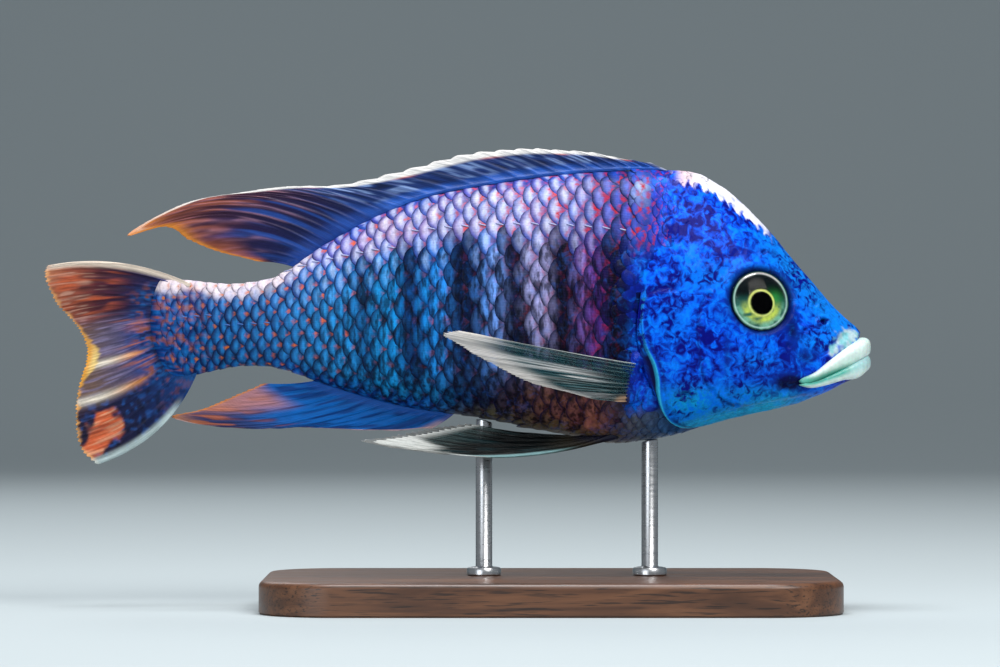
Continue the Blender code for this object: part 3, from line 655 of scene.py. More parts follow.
def matt_board(settings):
    """Painted board, rolled matt: an even pale grey with a trace of the roller's stipple."""
    made, add, where = start_material("Painted_board_matt")
    patches = add("TexNoise", {"Vector": where, "Scale": 1 / (160.0 * MM), "Detail": 2.0})
    share = add("Math", {0: patches, 1: 0.06}, operation="MULTIPLY")
    colour = add("Mix", {0: share, 6: settings.board_colour, 7: "#9FB2BA"}, data_type="RGBA")
    stipple = add("TexNoise", {"Vector": where, "Scale": 1 / (1.2 * MM), "Detail": 2.0})
    bump = add("Bump", {"Strength": 0.05, "Distance": 0.1 * MM, "Height": stipple})
    shader = add("BsdfPrincipled", {"Base Color": colour, "Roughness": 0.85, "Normal": bump})
    add("OutputMaterial", {"Surface": shader})
    return made


# Where the gill cover's bony plate ends short of its soft rim, as (degrees, millimetres)
RIM_WIDTH = ((0, 0.2), (62, 0.25), (84, 0.35), (96, 1.0), (104, 1.6), (112, 1.3), (121, 0.5), (180, 0.25))
# The front edge of the large scales and of the small ones, as (degrees, along)
LARGE_SCALES_START = ((0, 41), (50, 41.5), (62, 43), (90, 45), (118, 44.5), (140, 47), (160, 57), (180, 63))
SMALL_SCALES_START = ((0, 30.5), (30, 31.5), (50, 36.0), (60, 40.5), (66, 40.9), (180, 40.9))
LATERAL_LINE = (
    (37, 16.2), (45, 17.2), (60, 18.7), (72, 18.2), (85, 16.2), (94, 13.7), (103, 11.3), (116, 8.2),
)
BARS = ((45.4, 2.2, 1.0), (55.0, 2.5, 1.0), (63.5, 2.2, 1.0), (72.5, 2.8, 1.0),
        (82.3, 2.2, 0.95), (90.8, 1.8, 0.7))
rim_width_at, large_start_at, small_start_at, lateral_line_at = map(
    smooth_line, (RIM_WIDTH, LARGE_SCALES_START, SMALL_SCALES_START, LATERAL_LINE))

# Folds and grooves of the head, each a line through (along, up) stations
PREOPERCLE = ((28.6, 9.0), (30.8, 4.5), (31.2, -3.5), (29.6, -9.5), (25.5, -12.6), (20.5, -12.6))
CHEEK_GROOVE = ((15.2, 0.6), (12.8, -2.8), (12.6, -6.4))
MOUTH_CORNER = ((12.4, -9.0), (14.6, -9.9), (17.0, -9.9))
UPPER_JAW_FOLD = ((3.5, 0.4), (6.4, -1.6), (9.8, -4.6), (13.2, -7.2), (14.6, -8.6))
JAW_EDGE = ((9.0, -11.3), (15.0, -12.4), (21.0, -13.6), (27.0, -14.6))
PORES = (
    (29.6, 6.6), (31.3, 1.0), (31.0, -5.2), (29.0, -10.4), (24.6, -13.0), (13.6, 4.0), (12.4, 0.4),
    (15.4, -2.4), (19.4, -3.4), (24.0, -1.2), (10.4, 5.0), (14.0, 10.4), (19.6, 14.4),
)
PLATE_PIT = (33.9, -11.3)
PLATE_TOP = ((42.6, 2.4), (41.9, 5.2), (40.2, 7.2), (37.9, 8.0), (34.6, 7.6))
# How far the gill cover's rim overhangs the opening, and how far the skin runs on in the tail fin
RIM_OVERHANG, TAIL_OVERLAP = 0.35, 5.8
# How deep the flesh lies under the outline, and how much deeper under small and under large scales
FLESH_SUNK, SMALL_SUNK, LARGE_SUNK = 0.05, 0.17, 0.20


def from_line(along, up, line):
    """How far places are behind a line through stations, and the share of the line beside them."""
    at = np.array(line, float)
    run = run_along(at)
    steps = np.linspace(0, run[-1], 28)
    fine = np.stack([smooth_line(list(zip(run, at[:, k])))(steps) for k in (0, 1)], -1)
    best, signed, share = np.full(along.shape, 1e9), np.zeros(along.shape), np.zeros(along.shape)
    for i, (a, b) in enumerate(zip(fine[:-1], fine[1:])):
        way = b - a
        t = np.clip(((along - a[0]) * way[0] + (up - a[1]) * way[1]) / (way @ way), 0, 1)
        off_along, off_up = along - a[0] - t * way[0], up - a[1] - t * way[1]
        far = np.hypot(off_along, off_up)
        closer = far < best
        best = np.where(closer, far, best)
        signed = np.where(closer, np.sign(off_along * -way[1] + off_up * way[0]) * far, signed)
        share = np.where(closer, (i + t) / (len(fine) - 1), share)
    return signed, share


def line_ends(share):
    """0 at both ends of a line and 1 along its middle."""
    return rise(share, 0.0, 0.18) * fall(share, 0.82, 1.0)


def spot(along, up, centre, radii):
    """1 at a centre, and less round it."""
    return np.exp(-((along - centre[0]) / radii[0]) ** 2 - ((up - centre[1]) / radii[1]) ** 2)


def gill_fold(degrees):
    """How open the gill slit is at an angle, from 0 to 1."""
    return rise(degrees, 69, 79) * fall(degrees, 158, 176)


def rim_end(degrees):
    """Where the gill cover's soft rim ends."""
    return opening_at(degrees) + RIM_OVERHANG


def flesh_height(along, degrees):
    """How far the flesh behind the gills lies under the body's outline, so that scales fit on it."""
    behind = along - rim_end(degrees)
    small, large = small_start_at(degrees), large_start_at(degrees)
    height = -FLESH_SUNK - SMALL_SUNK * rise(along, small - 1.5, small + 1.0)
    height -= LARGE_SUNK * rise(along, large - 1.5, large + 2)
    height *= 1 - 0.8 * rise(along, 118.0, 130.0)
    height += pectoral_pad(along, degrees)
    return height - 0.5 * gill_fold(degrees) * fall(behind, 0.4, 4.0)


def pectoral_pad(along, degrees):
    """The fleshy pad that carries the pectoral fin."""
    top, foot = (float(np.degrees(angle_at_height(*map(np.array, row[1:])))) for row in PECTORAL_ROOT)
    line = PECTORAL_ROOT[0][1] + (PECTORAL_ROOT[1][1] - PECTORAL_ROOT[0][1]) * (degrees - top) / (foot - top)
    off = along - line
    beyond = np.maximum(0, np.maximum(top - degrees, degrees - foot)) * 0.3
    return 1.15 * np.exp(-(off / np.where(off < 0, 1.7, 1.0)) ** 2 - (beyond / 1.5) ** 2)


def eye_place(side):
    """The middle of the eyeball and the way that it looks."""
    angle = angle_at_height(np.array(EYE_ALONG), np.array(EYE_UP))
    axis = skin_normal(EYE_ALONG, angle, side)
    return skin_point(EYE_ALONG, angle, side) - axis * EYE_SUNK, axis


def eye_distance(points, side):
    """How far points are from the line that the eye looks along."""
    centre, axis = eye_place(side)
    off = points - centre
    along_axis = off @ axis
    far = np.sqrt(np.maximum((off**2).sum(-1) - along_axis**2, 0))
    return np.where(along_axis > -6.0, far, 60.0)


def scale_steps(across, behind):
    """Low relief of small overlapping scales, from -1 to 1, over places in scale pitches."""
    best = np.full(across.shape, -1.0)
    row, column = np.round(across), np.floor(behind)
    for step_row in (-1, 0, 1):
        r = row + step_row
        for step_column in (-1, 0, 1, 2):
            centre = column + step_column + 0.5 * (r % 2)
            a, b = behind - centre, (across - r) * 0.62
            inside = (a**2 + b**2 < 0.52) & (a > -0.2)
            best = np.where(inside, np.maximum(best, a / 0.72), best)
    return best


def off_pit(along, up):
    """How far places are from the pit in the gill plate's lower corner, which is wider than high."""
    return np.hypot(along - PLATE_PIT[0], (up - PLATE_PIT[1]) * 1.5)


def off_nostril(along, up):
    """How far places are from the nostril."""
    return np.hypot(along - NOSTRIL_ALONG, up - NOSTRIL_UP)


def head_relief(points, along, degrees, side):
    """The folds, bones and pits of the head, as heights over its plain outline."""
    up = points[..., 2]
    height = np.zeros(along.shape)
    behind, share = from_line(along, up, PREOPERCLE)
    edge = np.where(behind < 0, np.exp(behind / 1.8), np.clip(1 - behind / 0.4, 0, 1)) * 0.2
    height += (edge - 0.14 * hump(behind, 0.45, 0.35)) * line_ends(share)
    for line, depth, width in (
        (CHEEK_GROOVE, 0.22, 0.5), (MOUTH_CORNER, 0.45, 0.55), (UPPER_JAW_FOLD, 0.3, 0.5),
        (JAW_EDGE, 0.28, 0.5), (PLATE_TOP, 0.3, 0.4),
    ):
        far, share = from_line(along, up, line)
        height -= depth * hump(far, 0, width) * line_ends(share)
        height += 0.35 * depth * hump(np.abs(far), 2.4 * width, width) * line_ends(share)
    for pore in PORES:
        far = np.hypot(along - pore[0], up - pore[1])
        height += 0.1 * hump(far, 0.75, 0.3) - 0.32 * fall(far, 0.2, 0.6)
    far = off_pit(along, up)
    height += 0.12 * hump(far, 1.3, 0.5) - 0.25 * fall(far, 0.3, 1.1)
    far = off_nostril(along, up)
    height += 0.28 * hump(far, 0.95, 0.35) - 0.9 * fall(far, 0.25, 0.75)
    height += 0.35 * spot(along, up, (24.0, -3.0), (5.0, 4.5))
    height += 0.3 * spot(along, up, (35.5, 1.0), (3.5, 7.0))
    throat = rise(degrees, 150, 158) * rise(along, 15, 20) * fall(along, 33, 36)
    height += 0.16 * np.sin(np.radians(degrees) * 58) * throat
    eye = eye_distance(points, side)
    clear = rise(eye, 6.4, 8.5) * rise(along, 12.0, 16.0) * (1 - throat)
    height += 0.055 * scale_steps((up + 0.25 * along) / 1.15, along / 1.75) * clear
    height += 0.07 * grain(points, 2.6, 3) + 0.035 * grain(points, 1.0, 5)
    height += 0.16 * hump(eye, 6.8, 0.8) - 0.8 * fall(eye, 5.25, 6.2) - 2.2 * fall(eye, 3.7, 5.25)
    return height


SKY = "#0A8CFF"
ROYAL = "#0448DA"
NAVY = "#060B3C"
CYAN = "#3CCBF4"


def head_paint(points, along, up, degrees):
    """The head's colours, with the strength of its mottling in the fourth number."""
    under_back, over_belly = back_at(along) - up, up - belly_at(along)
    colours = even(ROYAL, along)
    mottle = np.ones(along.shape)
    colours = blend(colours, "#0A74C8", fall(under_back, 3.0, 10.0) * fall(along, 15, 24) * 0.85)
    for colour, share, centre, radii in (
        (SKY, 0.55, (29, 10), (6, 2.4)), (SKY, 0.8, (10.6, -1.6), (3.0, 1.7)), (SKY, 0.5, (21, -5), (4, 2.0)),
        (SKY, 0.35, (36, 2), (3.5, 5.0)), ("#12B0E0", 0.8, (33, -12.5), (5.5, 2.6)),
        ("#12B0E0", 0.5, (21, -11.0), (6.0, 1.6)),
        # The first three navy spots lie on the cheek groove and in the mouth's corner: painted shade in these
        # folds
        (NAVY, 0.8, (12.2, -4.4), (2.1, 1.3)), (NAVY, 0.95, (14.6, 0.4), (1.3, 2.8)),
        (NAVY, 1.5, (15.0, -9.0), (3.0, 1.7)), (NAVY, 0.6, (26.5, -4.0), (0.6, 4.5)),
        (NAVY, 0.35, (20.5, 15.0), (4.0, 1.6)), (NAVY, 0.4, (27.5, 4.0), (1.8, 2.4)),
    ):
        colours = blend(colours, colour, share * spot(along, up, centre, radii))
        if colour == NAVY:
            mottle *= 1 - 0.85 * np.clip(share * spot(along, up, centre, radii), 0, 1)
    jaw = rise(-up, 10.0, 12.2) * fall(along, 17, 25)
    under = fall(over_belly, 0.8, 3.4) * rise(along, 12, 18)
    off_cheek, cheek_share = from_line(along, up, PREOPERCLE)
    off_top, top_share = from_line(along, up, PLATE_TOP)
    patch = spot(along, up, (4.5, -1.3), (2.8, 2.4)) + 0.7 * spot(along, up, (7.0, -3.6), (1.3, 1.3))
    patch = patch * (1 + 0.5 * grain(points, 0.7, 2))
    mottle *= 1 - np.maximum(0.5 * jaw, 0.65 * under)
    mottle *= fall(patch, 0.3, 0.7)
    # The pale patch along the top of the head, with a jagged lower edge and lavender and pink flecks, is
    # painted highlight of the light from above
    teeth = np.abs((along * 0.62 + 0.35 * grain(points, 1.6, 4)) % 1 - 0.5) * 2
    deep = 0.7 + 1.1 * rise(along, 18, 24) + 1.1 * teeth + 0.6 * grain(points, 0.9, 8)
    forehead_highlight = rise(along, 17.8, 19.2) * fall(along, 33.5, 36)
    forehead_highlight = forehead_highlight * fall(under_back, deep - 0.25, deep + 0.25)
    colours = blend_all(colours, (
        ("#0A92DC", jaw * 0.8),
        ("#2FBDE6", under * 0.8),
        # The navy in the preopercle's groove, the plate's upper groove, round the pit and in the nostril is
        # painted shade in these hollows
        (NAVY, hump(off_cheek, 0.4, 0.3) * line_ends(cheek_share) * 0.6),
        (NAVY, hump(off_top, 0.1, 0.45) * fall(top_share, 0.75, 1.0) * 0.8),
        (NAVY, hump(off_pit(along, up), 1.0, 0.5) * 0.8),
        (NAVY, fall(off_nostril(along, up), 0.3, 0.8)),
        ("#B4CCD0", rise(patch, 0.35, 0.75) * 0.92),
        ("#5CB8C0", rise(patch, 0.35, 0.6) * rise(grain(points, 0.8, 14), 0.0, 0.6) * 0.7),
        ("#DCDCE8", forehead_highlight),
        ("#7C8CDC", forehead_highlight * rise(grain(points, 1.3, 15), 0.15, 0.6) * 0.55),
        ("#D8A0A8", forehead_highlight * rise(along, 30, 34) * 0.6),
    ))
    mottle *= 1 - forehead_highlight
    edge, slit = opening_at(degrees) - rim_width_at(degrees) - along, gill_fold(degrees)
    bright_edge = rise(degrees, 92, 103)
    mottle *= 1 - fall(edge, 0.4, 0.8) * slit * bright_edge
    colours = blend_all(colours, (
        (NAVY, hump(edge, 1.05, 0.4) * slit * rise(degrees, 70, 95) * 0.6),
        (CYAN, fall(edge, 0.12, 0.4) * slit * (0.4 + 0.55 * bright_edge)),
        # The navy behind the bony plate's edge is painted shade under the gill cover's soft rim
        (NAVY, fall(edge, -0.3, -0.02) * slit),
    ))
    return with_opacity(colours, mottle)


def with_eye_ring(paint, points, side):
    """The paint with a dark ring round the eye, painted shade of its socket, which carries no mottling."""
    dark = fall(eye_distance(points, side), 5.5, 7.6) * 0.92
    return with_opacity(blend(paint[..., :3], "#03061E", dark), paint[..., 3] * (1 - dark))


UPPER_FLANK = colour_line(
    (36, "#1A34C4"), (41, "#2840AC"), (48, "#5058AC"), (56, "#9A98CC"), (66, "#B0AEDA"),
    (76, "#B2AAD4"), (86, "#CCAECA"), (96, "#8C90D4"), (106, "#4C80C4"), (124, "#2462B0"),
)
MID_FLANK = colour_line(
    (41, "#0C2C98"), (46, "#101848"), (50, "#42389C"), (59, "#B6B4EC"), (68, "#5E96EA"), (78, "#1480DC"),
    (87, "#1090DC"), (98, "#2C86D0"), (108, "#2C6CB2"), (124, "#104C90"),
)
LOW_FLANK = colour_line(
    (36, "#3068A0"), (42, "#5A6470"), (46, "#54444C"), (50, "#B06C54"), (60, "#78503F"), (68, "#2A3448"),
    (75, "#125894"), (86, "#0E8CC8"), (96, "#0E80C0"), (105, "#0E60A4"), (124, "#0E4690"),
)
LOW_LINE = smooth_line(((40, -7), (60, -8.5), (75, -9), (95, -8), (107, -5.5), (124, -6)))


def bar_share(along, up):
    """How dark the bars are at a place on the flank."""
    dark = np.zeros(np.shape(along))
    for middle, width, strength in BARS:
        lean = middle + 0.03 * (up - 5)
        dark = np.maximum(dark, strength * rise(hump(along, lean, width), 0.1, 0.7))
    top = lateral_line_at(along)
    return dark * fall(up, top - 3.0, top + 1.5) * rise(up, LOW_LINE(along) - 6, LOW_LINE(along) + 4)


def tail_flecks(colours, along, up, share):
    """The dark, rust and blue flecks that run from the tail's root out over its rays."""
    flecks = flat_grain(along * 1.1, up * 1.9, 45)
    return blend_all(colours, (
        ("#0A4690", share * 0.7),
        ("#071C54", share * rise(-flecks, 0.0, 0.5) * 0.85),
        ("#1464B0", share * rise(flat_grain(along * 1.0, up * 2.2, 46), 0.1, 0.5) * 0.75),
        ("#984E24", share * rise(flecks, 0.18, 0.62) * 0.85),
    ))


def body_paint(points, along, up):
    """The colours of the body behind the head."""
    top, low = lateral_line_at(along), LOW_LINE(along)
    under_back, over_belly = back_at(along) - up, up - belly_at(along)
    colours = blend(MID_FLANK(along), UPPER_FLANK(along), rise(up, top - 2.2, top + 0.8))
    colours = blend(colours, LOW_FLANK(along), fall(up, low - 2.5, low + 3.0))
    dim = 1 - 0.2 * rise(-up, -8, 6) * fall(along, 70, 85)
    colours = colours * dim[..., None]
    between = hump(along, 50.2, 1.5) * fall(up, top - 4, top) * rise(up, -9, -2)
    colours = blend(colours, "#7C2450", between * 0.45)
    bar_colour = colour_line((44, "#060206"), (55, "#08060C"), (64, "#060A1C"),
                             (73, "#04102C"), (90, "#0A2050"))
    colours = blend(colours, bar_colour(along), bar_share(along, up) * 0.97)
    streaks = np.sin(2 * np.pi * (along + 0.3 * grain(points, 2.0, 6)) / 1.05)
    belly = fall(up, low - 1.5, low + 1.5) * fall(along, 68, 76) * rise(along, 43, 50)
    colours = colours * (1 - 0.4 * belly * rise(streaks, -0.2, 0.7))[..., None]
    under = fall(over_belly, 0.8, 3.4) * rise(along, 40, 48)
    pale = spot(along, up, (41.7, 26.0), (1.4, 2.7))
    colours = blend_all(colours, (
        # The olive along the underside is a painted reflection of yellow light from below
        ("#5C5430", under * fall(along, 68, 78) * 0.85),
        ("#0E48A4", under * rise(along, 74, 80) * fall(along, 104, 112)),
        ("#B4CCEC", pale * rise(grain(points, 1.1, 61), -0.5, 0.3) * 0.75),
    ))
    sheath = fall(under_back, 1.2, 2.6) * rise(along, 37, 42) * fall(along, 96, 102)
    # The white along the top of the tail's root is painted highlight of the light from above
    peduncle_top_highlight = fall(under_back + 0.8 * grain(points, 1.4, 16), 1.6, 3.6) * rise(along, 98, 103)
    colours = blend_all(colours, (
        ("#1646B4", sheath * 0.9),
        ("#F4E2E4", peduncle_top_highlight * 0.95),
        ("#F0A04C", spot(along, up, (122.6, 6.9), (1.3, 1.2)) * 0.85),
    ))
    colours = tail_flecks(colours, along, up, rise(along, 118.0, 123.5) * (1 - peduncle_top_highlight))
    return np.clip(colours, 0, 1)


def fish_paint(points, along, degrees):
    """The whole fish's colours: the head's, then the body's behind the line where scales begin."""
    up = points[..., 2]
    head = head_paint(points, along, up, degrees)
    body = with_opacity(body_paint(points, along, up), 0.12)
    blue_shoulder = rise(degrees, 55, 66) * fall(degrees, 128, 140)
    seam = np.where(degrees < 57, 36.5, opening_at(degrees) + 0.2)
    ragged = 1.6 * grain(points, 2.2, 9) * fall(degrees, 60, 70)
    behind = rise(along, 42.2, 45.6)
    shoulder = with_opacity(blend(even("#0A40D0", along), "#050818", behind), 0.8 - 0.72 * behind)
    body = body + (shoulder - body) * (blue_shoulder * fall(along, 43.6, 45.6))[..., None]
    share = rise(along + ragged, seam - 0.1, seam + np.where(degrees < 57, 4.0, 0.3))
    return head + (body - head) * share[..., None]


# The gill slit's rings: the line that each is counted from, how far behind it, and the height,
# with the slit open. The plate's edge, the soft rim over it, and the pocket behind them.
PLATE_EDGE, RIM_EDGE = 0, 1
SLIT_RINGS = (
    (PLATE_EDGE, -0.12, 0.27), (PLATE_EDGE, 0.0, 0.16), (PLATE_EDGE, -0.04, -0.04), (PLATE_EDGE, -0.1, -0.14),
    (PLATE_EDGE, 0.12, -0.17), (PLATE_EDGE, 0.5, -0.1), (PLATE_EDGE, 1.0, -0.06), (RIM_EDGE, -0.12, -0.08),
    (RIM_EDGE, 0.0, -0.18), (RIM_EDGE, -0.05, -0.42), (RIM_EDGE, -0.22, -0.8), (RIM_EDGE, 0.1, -0.92),
    (RIM_EDGE, 0.5, -0.92),
)


def ring_angles(columns):
    """The angles of a ring's points, spaced evenly along the body's outline where it is deep."""
    fine = np.linspace(0, np.pi, 721)
    run = run_along(skin_point(np.full(fine.shape, 32.0), fine))
    half = np.interp(np.linspace(0, run[-1], columns // 2 + 1), run, fine)
    return np.concatenate([half, 2 * np.pi - half[-2:0:-1]])


def skin_rings(degrees, settings):
    """The skin's rings, as places along and heights over the outline, and where the plate ends."""
    start, rim = snout_end_at(degrees), rim_end(degrees)
    plate = rim - RIM_OVERHANG - rim_width_at(degrees)
    slit = gill_fold(degrees)
    first_behind, last_slit = plate - 0.3, rim + 0.7
    alongs, heights = [], []
    for k in range(settings.head_rings):
        along = start + (first_behind - start) * k / (settings.head_rings - 1)
        alongs.append(along)
        heights.append(-FLESH_SUNK + slit * 0.33 * rise(along, plate - 9, plate - 1))
    for k, (line, offset, height) in enumerate(SLIT_RINGS):
        closed = first_behind + (last_slit - first_behind) * (k + 1) / (len(SLIT_RINGS) + 1)
        base = plate if line == PLATE_EDGE else rim
        offset = np.minimum(offset, (rim - plate) * 0.6) if line == PLATE_EDGE else offset
        alongs.append(closed + (base + offset - closed) * slit)
        flesh = flesh_height(closed, degrees)
        heights.append(flesh + (height - flesh) * slit)
    end = tail_end_at(degrees) + TAIL_OVERLAP
    for k in range(settings.trunk_rings + 1):
        along = last_slit + (end - last_slit) * (k / settings.trunk_rings) ** 1.3
        alongs.append(along)
        heights.append(flesh_height(along, degrees))
    return np.array(alongs), np.array(heights), plate


def make_skin(settings):
    """The one skin of head, gill covers, trunk and tail, from the lips to the root of the tail fin."""
    angle = ring_angles(settings.columns)
    degrees = np.degrees(np.pi - np.abs(np.pi - angle))
    alongs, heights, plate = skin_rings(degrees, settings)
    angles, degrees, sides = (
        np.broadcast_to(row, alongs.shape) for row in (angle, degrees, np.where(angle <= np.pi, RIGHT, LEFT)))
    points, normals = skin_point(alongs, angles), skin_normal(alongs, angles)
    front = rise(plate - alongs, 0.2, 1.5)
    for side, _ in SIDES:
        here = (sides == side) & (alongs < plate)
        heights[here] += head_relief(points[here], alongs[here], degrees[here], side) * front[here]
    flat = (points + normals * heights[..., None]).reshape(-1, 3)
    paint = fish_paint(flat, alongs.ravel(), degrees.ravel())
    for side, _ in SIDES:
        here = (sides.ravel() == side) & (alongs.ravel() < 30)
        paint[here] = with_eye_ring(paint[here], flat[here], side)
    unwrap = np.stack([alongs / TOTAL_LENGTH, angles / (2 * np.pi)], -1).reshape(-1, 2)
    skin = make_piece("skin", place(flat), tube_faces(*alongs.shape), fish_skin(settings), {"paint": paint},
                      {"SkinPlace": unwrap})
    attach(skin, "root")
    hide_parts("head", "gill_cover_right", "gill_cover_left", "torso", "tail")


# A scale's points: how many across, its root's reach, and the share of its length at each row
PLATE_ACROSS, PLATE_ROOT = 11, 0.86
PLATE_ROWS = np.array((0.0, 0.22, 0.4, 0.52, 0.62, 0.71, 0.79, 0.86, 0.92, 0.965, 1.0))[:, None]
# A bake patch's half length and half height, as shares of its scale's: no two patches meet
PATCH_LONG, PATCH_TALL = 0.44, 0.38


def bake_place(along, girth, side):
    """A place on an unwrap of the whole skin, with the right side in the lower half."""
    return np.stack(np.broadcast_arrays(along / TOTAL_LENGTH, 0.5 + side * (0.25 + girth / 160.0)), -1)


def scale_outline():
    """A scale's points as (back from its middle, across) shares of its size, row by row."""
    across = np.sin(np.linspace(-1, 1, PLATE_ACROSS) * 1.33) / math.sin(1.33) * 0.985
    behind = (1 - np.abs(across) ** 2.3) ** 0.5
    front = -PLATE_ROOT * (1 - np.abs(across) ** 4) ** 0.5
    back = front + (behind - front) * PLATE_ROWS
    return back, np.broadcast_to(across, back.shape)


def make_scales(rows_of, side, rng, settings):
    """Scales as closed plates, each of (along, girth, half length, half height, lift, contrast)."""
    back, across = scale_outline()
    along0, girth0, half_length, half_height, lift, contrast = (
        np.array(v)[:, None, None] for v in zip(*rows_of))
    number, size = len(rows_of), back.size
    jitter = 1 + 0.09 * rng.uniform(-1, 1, (3, number, 1, 1))
    along0 = along0 + 0.07 * half_length * rng.uniform(-1, 1, along0.shape)
    ragged = 0.035 * rng.uniform(-1, 1, (number, 1, PLATE_ACROSS)) * PLATE_ROWS**3
    along = along0 + (back + ragged) * half_length * jitter[0]
    # A row keeps its share of the girth, so the scales turn with the body's outline
    narrowing = row_spacing_at(along) / row_spacing_at(along0)
    girth = girth0 * narrowing + across * half_height * jitter[1]
    angle = GIRTH.angle_at(along, girth)
    degrees = np.degrees(np.clip(angle, 0, np.pi))
    tilt = (back * half_length + half_length * PLATE_ROOT) / (half_length * (1 + PLATE_ROOT))
    top = flesh_height(along, degrees) + lift * (0.06 + 0.94 * tilt * jitter[2])
    top = top + 0.22 * lift * (1 - across**2) - 0.12 * lift * rise(PLATE_ROWS, 0.9, 1.0)
    points, normals = skin_point(along, angle, side), skin_normal(along, angle, side)
    upper = points + normals * top[..., None]
    lower = points + normals * (top - settings.thickness / MM)[..., None]
    middle_angle = GIRTH.angle_at(along0, girth0)
    centre, degrees0 = skin_point(along0, middle_angle, side), np.degrees(middle_angle)
    paint = scale_paint(upper, along, degrees, centre, along0, degrees0, across, contrast, rng)
    blotch = blotch_paint(centre, along0, degrees0, rng)
    low = lateral_line_at(along0) + 1 - centre[..., 2]
    streaks = (0.25 + 0.55 * rise(low, 0, 7)) * (1 - 0.5 * rise(along0, 90, 105)) * contrast
    spread = with_opacity(np.repeat(fall(along0, 62, 84)[..., None], 3, axis=-1), streaks)
    own = np.stack(np.broadcast_arrays((across + 1) / 2, PLATE_ROWS), -1)
    cell = bake_place(
        along0 + back * half_length * PATCH_LONG, girth0 + across * half_height * PATCH_TALL, side)
    points = np.concatenate([face.reshape(number, size, 3) for face in (upper, lower)], 1).reshape(-1, 3)
    offsets = (np.arange(number) * 2 * size)[:, None, None]
    faces = [(group[None] + offsets).reshape(-1, group.shape[1]) for group in shell_faces(*back.shape)]
    # Both faces of a scale carry the same paint and places
    maps = [np.broadcast_to(values, (*along.shape, values.shape[-1])).reshape(number, size, -1)
            for values in (paint, blotch, spread, own, cell)]
    maps = [np.concatenate([values, values], axis=1).reshape(number * 2 * size, -1) for values in maps]
    return [points, [np.concatenate(faces[:2]), faces[2]], *maps]


row_spacing_at = smooth_line(((30, 3.0), (60, 3.1), (85, 2.7), (107, 2.05), (124, 1.9), (131, 1.75)))
pitch_at = smooth_line(((30, 3.2), (70, 3.1), (100, 2.6), (124, 2.1), (131, 1.8)))


def lattice(pitch, spacing, start, end):
    """Places of scales in rows, with every second row moved on by half a pitch.

    Each is (along, girth, the girth of the back and of the belly there, degrees).
    """
    step, most_rows = 0.05, 40
    table = np.arange(start, end, step)
    turns = np.concatenate([[0], np.cumsum(step / pitch(table))[:-1]])
    found = []
    for row in range(-most_rows, most_rows + 1):
        along = np.interp(np.arange(0, turns[-1], 1.0) + 0.5 * (row % 2), turns, table)
        girth = row * spacing(along)
        degrees = np.degrees(GIRTH.angle_at(along, girth))
        found += list(zip(along, girth, GIRTH.top_at(along), GIRTH.foot_at(along), degrees))
    return found


def scale_places(settings):
    """The large scales of the flank and tail, and the small ones of nape, shoulder, breast and belly."""
    large, small = [], []
    # Half a scale's length and height, as shares of the pitch and of the rows' spacing
    long_share, tall_share = 0.93, 1.06
    for along, girth, top, foot, degrees in lattice(pitch_at, row_spacing_at, 38.0, 130.0):
        if not foot + 0.4 < girth < top - 0.5 or along < large_start_at(degrees):
            continue
        if along > tail_end_at(degrees) + 3.0 + 2.6 * float(grain(np.array([girth, along]), 1.2, 77)):
            continue
        pitch, spacing = float(pitch_at(along)), float(row_spacing_at(along))
        lift = settings.lift / MM * (1 - 0.8 * float(rise(along, 114.0, 126.0)))
        contrast = 1.0 - 0.7 * float(rise(along, 116, 126))
        large.append((along, girth, pitch * long_share, spacing * tall_share, lift, contrast))
    small_pitch, small_spacing = 1.85, 1.6
    small_lattice = lattice(lambda place_at: np.full(np.shape(place_at), small_pitch),
                            lambda place_at: small_spacing * row_spacing_at(place_at) / 3.0, 29.0, 66.0)
    for along, girth, top, foot, degrees in small_lattice:
        begins = float(small_start_at(degrees)) if degrees < 62 else float(rim_end(degrees)) + 1.1
        ends = float(large_start_at(degrees))
        if not foot + 0.2 < girth < top - 0.2 or not begins < along < ends + 1.6:
            continue
        # The last small scales lie over the first large ones
        lift = settings.lift / MM * (0.62 + 1.1 * float(rise(along, ends - 1.6, ends + 0.8)))
        small.append((along, girth, small_pitch * long_share, small_spacing * tall_share, lift, 0.4))
    return sorted(large), small


